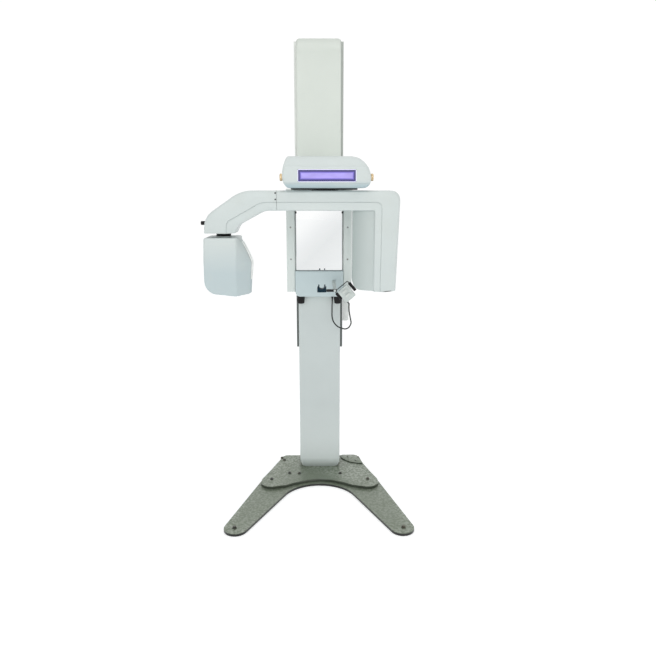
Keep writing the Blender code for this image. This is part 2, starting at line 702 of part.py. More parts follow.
def head_inside(carriage):
    """Cantilever beam with the slewing bearing and the drive."""
    x, y = AXIS
    beam = box_shape((x - 0.075, y - 0.075, BEAM_Z[0]), (x + 0.075, FRAME_WEB_Y - GAP, BEAM_Z[1]))
    part = add_part("head_beam", mesh_from(beam), "cast_alloy", (x, y, BEAM_Z[0]), carriage)
    add_cut(part, rod_shape((x, y, BEAM_Z[0] - 0.01), 0.05, 0.0385, sides=48))
    add_cut(part, rod_shape((x, WHEEL_Y, BEAM_Z[0] - 0.01), 0.05, 0.0065, sides=20))
    add_cut(part, box_shape((x - 0.055, y + 0.150, BEAM_Z[0] + 0.004), (x + 0.055, -0.12, BEAM_Z[1] + 0.01)))
    inner_r = HUB_R + 0.0004
    ring = [(inner_r, 0.0), (0.062, 0.0), (0.062, -0.020), (inner_r, -0.020), (inner_r, 0.0)]
    turned_part("bearing_ring", ring, "zinc_steel", (x, y, BEAM_Z[0] - GAP), carriage, steps=48)
    motor_top = BEAM_Z[0] - GAP
    motor = [(0.0, 0.0), (0.0205, 0.0), (0.0215, -0.001), (0.0215, -0.043), (0.0205, -0.044), (0.0, -0.044)]
    turned_part("rotation_motor", motor, "black_plastic", (x, WHEEL_Y, motor_top), carriage, steps=32)


def drive_wheel(parent):
    """Friction wheel on the rotation motor's shaft. It runs on the drum of the slewing hub."""
    low = BEAM_Z[1] + 0.0012
    shaft_foot = BEAM_Z[0] + 0.0003 - low
    profile = [
        (0.0, 0.014), (0.005, 0.014), (0.005, 0.012), (WHEEL_R - 0.001, 0.012), (WHEEL_R, 0.011),
        (WHEEL_R, 0.001), (WHEEL_R - 0.001, 0.0), (0.0045, 0.0), (0.0045, shaft_foot), (0.0, shaft_foot),
    ]
    turned_part("drive_wheel", profile, "rubber", (AXIS[0], WHEEL_Y, low), parent, steps=32)


def side_knob(name, x, direction, parent):
    """Brass-coloured knob on a side of the head, on a short shaft through the cover."""
    profile = [
        (0.0, 0.0100), (0.0085, 0.0100), (0.0115, 0.0092), (0.0128, 0.0072), (0.0134, 0.0008), (0.0130, 0.0),
        (0.0040, 0.0), (0.0040, -0.0120), (0.0, -0.0120),
    ]
    knob = turned_part(name, profile, "brass", (x, KNOB_Y_FRONT, KNOB_Z), parent, axis="X", steps=28)
    if direction < 0:
        knob.rotation_euler = (0.0, math.radians(-90.0), 0.0)


# ---------------------------------------------------------------- console's small parts
def ribbed_knob(name, x, parent):
    """Black knob with ribs that hangs under the console on its shaft."""
    ribs = 12
    tall = 0.038
    rings = []
    steps = ribs * 4
    for z, radius in ((0.0, 0.0185), (-0.002, 0.0208), (-0.028, 0.0196), (0.003 - tall, 0.0172), (-tall, 0.0145)):
        ring = []
        for i in range(steps):
            angle = 2 * math.pi * i / steps
            valley = 0.0012 if i % 4 == 0 and -0.030 < z < -0.001 else 0.0
            reach = radius - valley
            ring.append((x + reach * math.cos(angle), KNOB_Y + reach * math.sin(angle), z))
        rings.append(ring)
    shape = loft_shape([[(px, py, pz + CONSOLE_Z[0] - 0.0015) for px, py, pz in ring] for ring in rings])
    knob = add_part(name, mesh_from(shape), "black_plastic", (x, KNOB_Y, CONSOLE_Z[0]), parent)
    add_cut(knob, rod_shape((x, KNOB_Y, CONSOLE_Z[0] - 0.010), 0.022, 0.0050, sides=16), "UNION")


def chin_support(carriage):
    x, y, z = CHIN_PIVOT
    bar = box_shape((x - 0.008, y, z - 0.007), (x + 0.008, CONSOLE_FRONT_Y - GAP, z + 0.007))
    part = add_part("chin_support", mesh_from(bar), "white_paint", CHIN_PIVOT, carriage)
    add_bevel(part, 0.003, 2)
    pin = rod_shape((x, y - 0.0150, z), 0.0300, 0.0035, axis="Y", sides=16)
    add_cut(part, pin, "UNION")
    cap = rod_shape((x, y - 0.0175, z), 0.0030, 0.0060, axis="Y", sides=20)
    add_cut(part, cap, "UNION")


def chin_rest(parent):
    x, y, z = CHIN_PIVOT
    cup_x, cup_y, cup_z = CHIN_XYZ
    cup_right = cup_x + 0.0215
    bar = box_shape((cup_right + GAP, y - 0.0140, z - 0.0060), (x + 0.0110, y - 0.0006, z + 0.0060))
    part = add_part("chin_bar", mesh_from(bar), "black_plastic", CHIN_PIVOT, parent)
    add_bevel(part, 0.0022, 2)
    add_cut(part, rod_shape((x, y - 0.03, z), 0.04, 0.0039, axis="Y", sides=16))

    low = cup_z - 0.0115
    body = box_shape((cup_x - 0.0215, cup_y - 0.0200, low), (cup_right, cup_y + 0.0200, cup_z + 0.0120))
    upright = [edge for edge in body.edges if abs(edge.verts[0].co.z - edge.verts[1].co.z) > 0.01]
    bmesh.ops.bevel(body, geom=upright, offset=0.008, segments=3, profile=0.5, affect="EDGES")
    cup = add_part("chin_cup", mesh_from(body), "chin_plastic", CHIN_XYZ, parent)
    add_cut(cup, rod_shape((cup_x, cup_y - 0.05, cup_z + 0.0230), 0.1, 0.0190, axis="Y", sides=32))
    for side in (-1, 1):
        middle = cup_x + side * 0.0140
        low = (middle - 0.0030, cup_y - 0.0060, cup_z)
        prong = box_shape(low, (middle + 0.0030, cup_y + 0.0060, cup_z + 0.0225))
        add_cut(cup, prong, "UNION")


# ---------------------------------------------------------------- control pad and its lead
def pad_parts(pad):
    """Keypad box in the pad's own frame: X across, Z up its long side, the keys on its -Y face."""
    half_x, half_y, half_z = (size / 2 for size in PAD_SIZE)
    body = box_shape((-half_x, -half_y, -half_z), (half_x, half_y, half_z))
    part = add_part("pad_body", mesh_from(body), "keypad_plastic", (0.0, 0.0, 0.0), pad, local=True)
    add_bevel(part, 0.004, 3)
    reach = CARRIAGE_FRONT_Y - PAD_CENTRE[1] - half_y - 2 * GAP
    bracket = rod_shape((0.0, half_y + GAP, 0.0), reach, 0.0082, axis="Y", sides=24)
    add_part("pad_bracket", mesh_from(bracket), "grey_plastic", (0.0, half_y, 0.0), pad, local=True)


def pad_button(name, z, parent):
    """Key that stands off the pad's face by its travel."""
    face = -PAD_SIZE[1] / 2
    key = box_shape((-0.0140, face - 0.0046, z - 0.0065), (0.0140, face - BUTTON_TRAVEL - GAP, z + 0.0065))
    part = add_part(name, mesh_from(key), "keypad_plastic", (0.0, face, z), parent, local=True)
    add_bevel(part, 0.0008, 2)


def tube_curve(name, points, radius, finish, parent, resolution, thick=None):
    """A round wire along points of its parent's frame, with filled caps. thick holds shares of the radius."""
    curve = bpy.data.curves.new(name, "CURVE")
    curve.dimensions = "3D"
    curve.bevel_depth = radius
    curve.bevel_resolution = resolution
    curve.use_fill_caps = True
    spline = curve.splines.new("POLY")
    spline.points.add(len(points) - 1)
    for i, (point, place) in enumerate(zip(spline.points, points)):
        point.co = (*place, 1.0)
        point.radius = thick[i] if thick else 1.0
    curve.materials.append(finish_of(finish))
    wire = bpy.data.objects.new(name, curve)
    PARTS.objects.link(wire)
    wire.parent = parent
    return wire


def pad_bail(pad):
    """Thin rod round the pad's upper end, with a thick grip on each of its legs."""
    left, right = BAIL_X
    rod = 0.0022
    grip = GRIP_R
    share = rod / grip
    shoulder = [(0.0200, 1.0), (0.0330, 0.95), (0.0350, share)]
    left_leg, right_leg = ([(foot, 1.0), (foot + 0.0140, 1.0)] + shoulder for foot in BAIL_FEET)
    path = [(left, 0.0, z) for z, _ in left_leg]
    thick = [size for _, size in left_leg]
    bend = 0.006
    for angle in (25.0, 65.0):
        a = math.radians(angle)
        path.append((left + bend * (1 - math.cos(a)), 0.0, 0.0400 + bend * math.sin(a)))
        thick.append(share)
    for angle in (65.0, 25.0):
        a = math.radians(angle)
        path.append((right - bend * (1 - math.cos(a)), 0.0, 0.0400 + bend * math.sin(a)))
        thick.append(share)
    path += [(right, 0.0, z) for z, _ in reversed(right_leg)]
    thick += [size for _, size in reversed(right_leg)]
    return tube_curve("pad_bail", path, grip, "black_plastic", pad, 3, thick)


def smooth_route(points, spacing):
    """Evenly spaced points on a smooth curve through the route's own points."""
    knots = [Vector(p) for p in points]
    knots = [2 * knots[0] - knots[1]] + knots + [2 * knots[-1] - knots[-2]]
    fine = []
    for p0, p1, p2, p3 in zip(knots, knots[1:], knots[2:], knots[3:]):
        for step in range(24):
            t = step / 24
            fine.append(
                0.5 * (2 * p1 + (p2 - p0) * t + (2 * p0 - 5 * p1 + 4 * p2 - p3) * t ** 2
                       + (3 * p1 - 3 * p2 + p3 - p0) * t ** 3)
            )
    fine.append(knots[-2])
    total = sum((b - a).length for a, b in zip(fine, fine[1:]))
    count = max(2, round(total / spacing))
    wanted = [total * i / count for i in range(count + 1)]
    places = []
    walked = 0.0
    k = 0
    for a, b in zip(fine, fine[1:]):
        step = (b - a).length
        while k < len(wanted) and wanted[k] <= walked + step + 1e-9:
            places.append(a.lerp(b, (wanted[k] - walked) / step))
            k += 1
        walked += step
    return places


def pad_lead(carriage, pad):
    """Lead from under the console to the pad's lower end, with a tapered relief at each end."""
    places = smooth_route(LEAD_ROUTE, 2.2 * LEAD_DIAMETER)
    places[:1] = [Vector(p) for p in LEAD_ROUTE[:2]]
    places[-1:] = [Vector(p) for p in LEAD_ROUTE[-2:]]
    lead = tube_curve("pad_lead", places, LEAD_DIAMETER / 2, "lead_jacket", carriage, 3)
    lead.location = -world_of(carriage)
    x, y, z = LEAD_ROUTE[0]
    top = CONSOLE_Z[0] + 0.006
    profile = [(0.0, top), (0.0046, top), (0.0046, top - 0.0066), (0.0058, top - 0.0068), (0.0058, top - 0.010),
               (0.0039, z + GAP), (0.0, z + GAP)]
    turned_part("lead_relief_console", profile, "rubber", (x, y, 0.0), carriage, steps=16)
    foot = -PAD_SIZE[2] / 2 - GAP
    profile = [(0.0, 0.0), (0.0058, 0.0), (0.0058, -0.003), (0.0039, RELIEF_TIP), (0.0, RELIEF_TIP)]
    turned_part("lead_relief_pad", profile, "rubber", (PAD_LEAD_X, 0.0, foot), pad, steps=16, local=True)


# ---------------------------------------------------------------- rotating arm
def arm_ring(outer, shoulder, crease, edge, edge_half):
    """Section of the arm from its outer side to its inner edge. Each argument is an (x, z) place.

    The front is flat from outer to shoulder, then drops to the crease and curves back to the inner edge.
    The rear half mirrors it about the arm's middle plane.
    """
    run = Vector(shoulder) - Vector(outer)
    away = run.normalized() * ARM_CORNER
    outer = Vector(outer)
    crease = Vector(crease)
    edge = Vector(edge)
    middle = crease.lerp(edge, 0.55)
    half = ARM_HALF
    front = [
        (outer, half - ARM_CORNER),
        (outer + away * 0.3, half - ARM_CORNER * 0.3),
        (outer + away, half),
        (Vector(shoulder), half),
        (crease, half - 0.004),
        (middle, half - 0.004 - (half - 0.004 - edge_half) * 0.40),
        (edge, edge_half),
    ]
    ring = [(x, AXIS[1] - y, z) for (x, z), y in front]
    ring += [(x, AXIS[1] + y, z) for (x, z), y in reversed(front)]
    return ring


def main_arm_skin():
    """Beam and detector housing in one, from the seam to the detector's foot."""
    top = ARM_Z[1]
    low = ARM_Z[0]
    inner = DETECTOR_IN
    foot = DETECTOR_BOTTOM_Z
    stations = [
        ((SEAM_X, top), (SEAM_X, 1.509), (SEAM_X, 1.506), (SEAM_X, low), 0.055),
        ((0.080, top), (0.080, 1.509), (0.080, 1.506), (0.080, low), 0.055),
        ((0.200, top), (0.178, 1.508), (0.170, 1.504), (0.126, low), 0.054),
        ((0.276, top), (0.226, 1.503), (0.208, 1.496), (0.142, 1.469), 0.050),
        ((0.320, top), (0.260, 1.494), (0.230, 1.482), (0.150, 1.463), 0.044),
        ((0.343, 1.549), (0.277, 1.478), (0.241, 1.464), (inner, 1.452), 0.038),
        ((0.354, 1.532), (0.284, 1.456), (0.245, 1.444), (inner, 1.436), 0.033),
        ((0.3575, 1.500), (0.286, 1.420), (0.2465, 1.412), (inner, 1.406), 0.026),
        ((0.3500, 1.324), (0.284, 1.310), (0.2465, 1.306), (inner, 1.304), 0.026),
        ((0.3462, 1.214), (0.282, 1.208), (0.2460, 1.206), (inner + 0.001, 1.206), 0.026),
        ((0.3448, 1.156), (0.281, 1.156), (0.2458, 1.156), (inner + 0.004, 1.156), 0.026),
        ((0.3446, 1.138), (0.281, 1.138), (0.2465, 1.138), (0.168, 1.138), 0.029),
        ((0.3440, 1.1255), (0.281, 1.1255), (0.2490, 1.1255), (0.188, 1.1255), 0.035),
        ((0.3400, foot), (0.281, foot), (0.2560, foot), (0.225, foot), 0.046),
    ]
    return loft_shape([arm_ring(*station) for station in stations], start_cap=False)


def tube_arm_skin():
    """Bent arm from the seam down to the tube head's collar."""
    seam = SEAM_X - GAP
    foot = TUBE_ARM_BOTTOM_Z
    top = ARM_Z[1]
    low = ARM_Z[0]
    stations = [
        ((seam, top), (seam, 1.509), (seam, 1.506), (seam, low), 0.055),
        ((-0.262, top), (-0.234, 1.509), (-0.233, 1.506), (-0.222, low), 0.055),
        ((-0.307, 1.5565), (-0.262, 1.501), (-0.261, 1.498), (-0.246, 1.465), 0.055),
        ((-0.346, 1.5480), (-0.292, 1.485), (-0.290, 1.482), (-0.271, 1.451), 0.055),
        ((-0.380, 1.5285), (-0.322, 1.468), (-0.320, 1.465), (-0.297, 1.437), 0.055),
        ((-0.416, 1.5055), (-0.350, 1.453), (-0.348, 1.450), (-0.322, 1.4245), 0.055),
        ((-0.451, 1.4830), (-0.376, 1.438), (-0.373, 1.436), (-0.341, 1.4145), 0.055),
        ((-0.479, 1.4620), (-0.391, 1.424), (-0.388, 1.422), (-0.350, 1.4060), 0.055),
        ((-0.491, 1.4380), (-0.399, 1.409), (-0.396, 1.408), (-0.357, 1.3960), 0.055),
        ((-0.4990, 1.4070), (-0.402, 1.393), (-0.399, 1.392), (-0.362, 1.3860), 0.055),
        ((-0.5010, foot), (-0.4035, foot), (-0.4005, foot), (-0.3670, foot), 0.055),
    ]
    return loft_shape([arm_ring(*station) for station in stations], start_cap=False)


def arm_covers(arm):
    x, y = AXIS
    for name, side in (("arm_front_cover", -1), ("arm_rear_cover", 1)):
        skin = keep_side(main_arm_skin(), (0.0, y + side * GAP / 2, 0.0), (0.0, -side, 0.0))
        cover = add_part(name, mesh_from(skin), "white_paint", (x, y, ARM_Z[1]), arm)
        add_wall(cover, ARM_WALL)
        add_cut(cover, rod_shape((x, y, ARM_Z[1] - 0.02), 0.04, HUB_R + 0.002, sides=48))
    cover = add_part("tube_arm_cover", mesh_from(tube_arm_skin()), "white_paint", (x, y, ARM_Z[1]), arm)
    add_wall(cover, ARM_WALL)
    add_cut(cover, rod_shape((SWIVEL[0], SWIVEL[1], TUBE_ARM_BOTTOM_Z - 0.02), 0.04, 0.0140, sides=24))
    add_cut(cover, rod_shape((-0.52, SWIVEL[1], LOCK_Z), 0.06, 0.0046, axis="X", sides=16))


def arm_inside(arm):
    """Frame, slewing hub and detector panel."""
    x, y = AXIS
    half = 0.024
    side = [
        (-0.455, 1.386), (-0.372, 1.386), (-0.372, 1.420), (-0.290, 1.486), (0.196, 1.486), (0.196, 1.150),
        (0.222, 1.150), (0.222, 1.500), (0.222, 1.540), (-0.310, 1.540), (-0.430, 1.462), (-0.455, 1.430),
    ]
    rings = [[(px, y - half, pz) for px, pz in side], [(px, y + half, pz) for px, pz in side]]
    frame = add_part("arm_frame", mesh_from(loft_shape(rings)), "cast_alloy", (x, y, 1.540), arm)
    add_cut(frame, rod_shape((SWIVEL[0], SWIVEL[1], 1.37), 0.062, PIN_R + 0.0008, sides=24))
    top = BEAM_Z[1] + 0.0008
    foot = 1.540 + GAP
    hub = [
        (0.0, top + 0.014), (DRUM_R - 0.001, top + 0.014), (DRUM_R, top + 0.013), (DRUM_R, top + 0.001),
        (DRUM_R - 0.001, top), (0.0375, top), (0.0375, BEAM_Z[0] - 0.0008), (HUB_R, BEAM_Z[0] - 0.0008),
        (HUB_R, foot), (0.0, foot),
    ]
    turned_part("slewing_hub", hub, "cast_alloy", (x, y, 0.0), arm, steps=48)
    panel = box_shape((0.1660, y - 0.020, 1.175), (0.1957, y + 0.020, 1.425))
    part = add_part("detector_panel", mesh_from(panel), "aluminium", (0.18, y, 1.3), arm)
    add_bevel(part, 0.002, 1)


def lock_knob(parent):
    """Black knob on the bent arm's outer side that clamps the tube head's swivel."""
    length = LOCK_LENGTH
    radius = LOCK_R
    neck = 0.0062
    profile = [
        (0.0, length), (radius - 0.0012, length), (radius, length - 0.0012), (radius, 0.0060), (neck, 0.0045),
        (neck, 0.0), (0.0040, 0.0), (0.0040, -0.0150), (0.0, -0.0150),
    ]
    centre = (LOCK_X, SWIVEL[1], LOCK_Z)
    knob = turned_part("swivel_lock_knob", profile, "black_plastic", centre, parent, steps=24)
    knob.rotation_euler = (0.0, math.radians(-90.0), 0.0)


# ---------------------------------------------------------------- X-ray tube head
def tube_ring(heights, left, right, nose, inset=0.0):
    """Plan section of the tube head: flat front and rear, and a crowned nose towards the patient.

    heights are those of its outer and of its inner side.
    """
    front, rear = TUBE_Y
    front += inset
    rear -= inset
    middle = (front + rear) / 2
    corner = TUBE_CORNER
    soft = corner * 0.3
    nose = max(nose, 0.002)
    crown = NOSE_CROWN * min(1.0, nose / NOSE_HALF)
    tip = right + nose - inset
    front_half = [
        (left, front + corner), (left + soft, front + soft), (left + corner, front), (right - corner, front),
        (right - soft + 0.002, front + soft), (right + 0.002, front + corner), (tip - crown, middle - NOSE_HALF),
        (tip - crown * 0.25, middle - NOSE_HALF * 0.5), (tip, middle - NOSE_HALF * 0.1),
    ]
    ring = front_half + [(x, 2 * middle - y) for x, y in reversed(front_half)]
    outer, inner = heights
    return [(x, y, inner + (outer - inner) * max(0.0, (right - x) / (right - left))) for x, y in ring]


def tube_skin():
    """The tube head's casing. Its outer lower corner is a large curve, and its foot rises outwards."""
    high = TUBE_Z[1]
    left, right = TUBE_X
    rings = []
    for drop, inset in ((0.0, 0.006), (0.0018, 0.0018), (0.006, 0.0)):
        rings.append(tube_ring((high - drop, high - drop), left + 0.004 + inset, right - inset, 0.0, inset))
    for z, share in NOSE_STEPS:
        rings.append(tube_ring((z, z), left, right, NOSE * share))
    widest = NOSE_STEPS[-1][0]
    for outer_z, outer_x, inner_z, inset in TUBE_FOOT:
        nose = NOSE - NOSE_FALL * (widest - inner_z)
        rings.append(tube_ring((outer_z, inner_z), outer_x, right - inset, nose, inset))
    return loft_shape(rings)


def tube_head(head):
    x, y = SWIVEL
    high = TUBE_Z[1]
    for name, side in (("tube_front_cover", -1), ("tube_rear_cover", 1)):
        skin = keep_side(tube_skin(), (0.0, y + side * GAP / 2, 0.0), (0.0, -side, 0.0))
        cover = add_part(name, mesh_from(skin), "white_paint", (x, y, high), head)
        add_wall(cover, TUBE_WALL)
        add_cut(cover, rod_shape((x, y, high - 0.02), 0.04, 0.0140, sides=24))
    collar_top = TUBE_ARM_BOTTOM_Z - 0.0006
    collar_low = high + GAP
    pin_top = 1.425
    pin_foot = high - 0.020
    collar = [
        (0.0, pin_top), (PIN_R, pin_top), (PIN_R, collar_top), (COLLAR_R, collar_top), (COLLAR_R, collar_low),
        (PIN_R, collar_low), (PIN_R, pin_foot), (0.0, pin_foot),
    ]
    turned_part("swivel_collar", collar, "black_plastic", (x, y, 0.0), head, steps=32)
    tank_top = pin_foot - GAP
    tank = mesh_from(box_shape((-0.488, y - 0.085, 1.235), (-0.372, y + 0.085, tank_top)))
    part = add_part("high_voltage_tank", tank, "tank_steel", (x, y, tank_top), head)
    add_bevel(part, 0.004, 1)
    profile = [
        (0.0, 0.060), (0.014, 0.060), (0.014, 0.036), (0.027, 0.026), (0.029, 0.0), (0.027, -0.026),
        (0.014, -0.036), (0.014, -0.060), (0.0, -0.060),
    ]
    turned_part("xray_tube", profile, "tube_glass", (-0.412, y, 1.192), head, axis="Y", steps=28)
    plate_x = TUBE_X[1] + NOSE - 0.0150
    plate = box_shape((plate_x - 0.003, y - 0.024, 1.155), (plate_x, y + 0.024, 1.232))
    part = add_part("collimator_plate", mesh_from(plate), "tank_steel", (plate_x, y, 1.19), head)
    add_cut(part, box_shape((plate_x - 0.01, y - 0.002, 1.163), (plate_x + 0.01, y + 0.002, 1.224)))


# ---------------------------------------------------------------- assembly
def build():
    global PARTS, CUTTERS
    clear_scene()
    PARTS = new_collection("panoramic_xray_machine")
    CUTTERS = new_collection("cutters")

    stand = axis_empty("stand", (0.0, 0.0, 0.0))
    base_lower_plate(stand)
    base_upper_plate(stand)
    base_bolts(stand)
    column(stand)
    column_cap(stand)
    rails(stand)
    column_inside(stand)

    carriage = axis_empty("carriage", (0.0, 0.0, CONSOLE_Z[0]), stand)
    carriage_frame(carriage)
    lift_parts(carriage)
    guide_shoes(carriage)
    side_covers(carriage)
    mirror_parts(carriage)
    console(carriage)
    guard_plate(carriage)
    head_covers(carriage)
    head_inside(carriage)
    chin_support(carriage)
    drive_wheel(axis_empty("drive_wheel_axis", (AXIS[0], WHEEL_Y, BEAM_Z[1]), carriage))
    for side, label in ((-1, "left"), (1, "right")):
        x = KNOB_LEFT_X if side < 0 else KNOB_RIGHT_X
        axis = axis_empty("side_knob_axis_" + label, (x, KNOB_Y_FRONT, KNOB_Z), carriage)
        side_knob("side_knob_" + label, x, side, axis)
        axis = axis_empty("console_knob_axis_" + label, (side * KNOB_X, KNOB_Y, CONSOLE_Z[0]), carriage)
        ribbed_knob("console_knob_" + label, side * KNOB_X, axis)
    chin_rest(axis_empty("chin_rest_axis", CHIN_PIVOT, carriage))

    pad = axis_empty("pad_frame", PAD_CENTRE, carriage)
    pad.rotation_euler = (0.0, -PAD_TILT, 0.0)
    pad_parts(pad)
    pad_bail(pad)
    pad_button("pad_key_upper", 0.0160, pad)
    pad_button("pad_key_lower", -0.0080, pad)
    pad_lead(carriage, pad)

    arm = axis_empty("arm_axis", (AXIS[0], AXIS[1], ARM_Z[1]), carriage)
    arm_covers(arm)
    arm_inside(arm)
    lock_knob(axis_empty("lock_knob_axis", (LOCK_X, SWIVEL[1], LOCK_Z), arm))
    tube_head(axis_empty("tube_head_axis", (SWIVEL[0], SWIVEL[1], TUBE_Z[1]), arm))
    bpy.context.view_layer.update()


build()
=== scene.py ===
"""Looks of the panoramic dental X-ray machine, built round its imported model.

Metres, in the model's own frame: +Z up, the patient's side faces -Y, the origin is under the column.
"""
import math

import bmesh
import bpy
from mathutils import Matrix, Vector


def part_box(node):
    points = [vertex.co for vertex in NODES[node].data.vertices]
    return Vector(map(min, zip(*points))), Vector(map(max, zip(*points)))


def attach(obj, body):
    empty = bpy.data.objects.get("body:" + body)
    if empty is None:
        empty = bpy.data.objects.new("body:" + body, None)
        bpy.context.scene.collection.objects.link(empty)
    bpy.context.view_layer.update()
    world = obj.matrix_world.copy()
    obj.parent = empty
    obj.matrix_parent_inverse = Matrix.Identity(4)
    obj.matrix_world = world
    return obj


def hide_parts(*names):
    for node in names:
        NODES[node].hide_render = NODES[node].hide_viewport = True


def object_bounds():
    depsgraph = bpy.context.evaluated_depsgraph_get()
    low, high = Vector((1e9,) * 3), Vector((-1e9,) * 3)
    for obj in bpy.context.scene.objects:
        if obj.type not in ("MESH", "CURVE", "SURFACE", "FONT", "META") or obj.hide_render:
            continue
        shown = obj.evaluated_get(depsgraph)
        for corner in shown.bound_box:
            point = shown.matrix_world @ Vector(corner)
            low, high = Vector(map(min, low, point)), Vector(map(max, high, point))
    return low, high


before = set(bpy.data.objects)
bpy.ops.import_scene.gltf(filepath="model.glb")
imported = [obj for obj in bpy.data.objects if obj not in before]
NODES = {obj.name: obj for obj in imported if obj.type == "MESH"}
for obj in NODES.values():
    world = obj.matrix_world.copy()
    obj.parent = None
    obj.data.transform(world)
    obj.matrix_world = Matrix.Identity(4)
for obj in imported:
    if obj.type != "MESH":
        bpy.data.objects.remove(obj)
CAD_LOW, CAD_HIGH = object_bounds()

# ---------------------------------------------------------------- camera and lead
CAMERA_AT = (0.026, -3.225, 1.560)
CAMERA_YAW = -0.36               # degrees, to the right
CAMERA_PITCH = 12.5              # degrees below the horizon
SENSOR_MM = 36.0
LENS_MM = 32.93

LEAD_DIAMETER = 0.007
LEAD_ROUTE = [
    (0.0680, -0.1080, 0.9905), (0.0679, -0.1082, 0.9820), (0.0669, -0.1145, 0.9623),
    (0.0666, -0.1234, 0.9371), (0.0670, -0.1339, 0.9097), (0.0717, -0.1425, 0.8895),
    (0.0805, -0.1495, 0.8754), (0.0956, -0.1583, 0.8618), (0.1148, -0.1671, 0.8552),
    (0.1318, -0.1747, 0.8521), (0.1472, -0.1817, 0.8574), (0.1577, -0.1883, 0.8696),
    (0.1640, -0.1965, 0.8890), (0.1609, -0.2048, 0.9093), (0.1570, -0.2142, 0.9312),
    (0.1530, -0.2240, 0.9531), (0.1512, -0.2340, 0.9720), (0.1506, -0.2430, 0.9870),
    (0.1511, -0.2485, 0.9955), (0.1504, -0.2500, 1.0010), (0.1478, -0.2500, 1.0041),
]

# ---------------------------------------------------------------- places taken from the frame
COLUMN_LOW, COLUMN_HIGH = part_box("column_front_cover")
REAR_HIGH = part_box("column_rear_cover")[1]
UPPER_LOW, UPPER_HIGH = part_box("base_upper_plate")
STRIP_LOW, STRIP_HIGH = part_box("side_cover_right")
MIRROR_LOW, MIRROR_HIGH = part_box("mirror")
CONSOLE_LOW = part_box("console_cover")[0]
HEAD_TOP_LOW, HEAD_TOP_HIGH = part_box("head_upper_cover")
HEAD_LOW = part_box("head_lower_cover")[0]
WINDOW_LOW, WINDOW_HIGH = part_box("head_window")
HUB_LOW, HUB_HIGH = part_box("slewing_hub")
ARM_LOW, ARM_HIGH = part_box("arm_front_cover")
REAR_ARM_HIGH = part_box("arm_rear_cover")[1]
BENT_LOW, BENT_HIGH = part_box("tube_arm_cover")
TUBE_LOW, TUBE_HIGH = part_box("tube_front_cover")
TUBE_REAR_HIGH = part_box("tube_rear_cover")[1]
COLLAR_LOW, COLLAR_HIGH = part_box("swivel_collar")
INLET_LOW, INLET_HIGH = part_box("mains_inlet")

AXIS_X = (HUB_LOW.x + HUB_HIGH.x) / 2
AXIS_Y = (HUB_LOW.y + HUB_HIGH.y) / 2
SWIVEL_X = (COLLAR_LOW.x + COLLAR_HIGH.x) / 2
PAD_CENTRE = Vector((0.1385, -0.250, 1.0525))
PAD_TILT = math.radians(40.0)
PAD_HALF = Vector((0.0305, 0.0120, 0.0355))
PAD_LEAD_X = -0.0240
BAIL_X = (-0.0388, 0.0435)
GRIPS = ((-0.0060, 8), (-0.0160, 10))   # lower end of each grip, and its number of ribs
PAD_TURN = Matrix.Translation(PAD_CENTRE) @ Matrix.Rotation(-PAD_TILT, 4, "Y")


def linear(*display):
    """A colour as it looks on a screen, 0 to 1, turned into the linear numbers that a shader takes."""
    return tuple(c / 12.92 if c <= 0.04045 else ((c + 0.055) / 1.055) ** 2.4 for c in display)


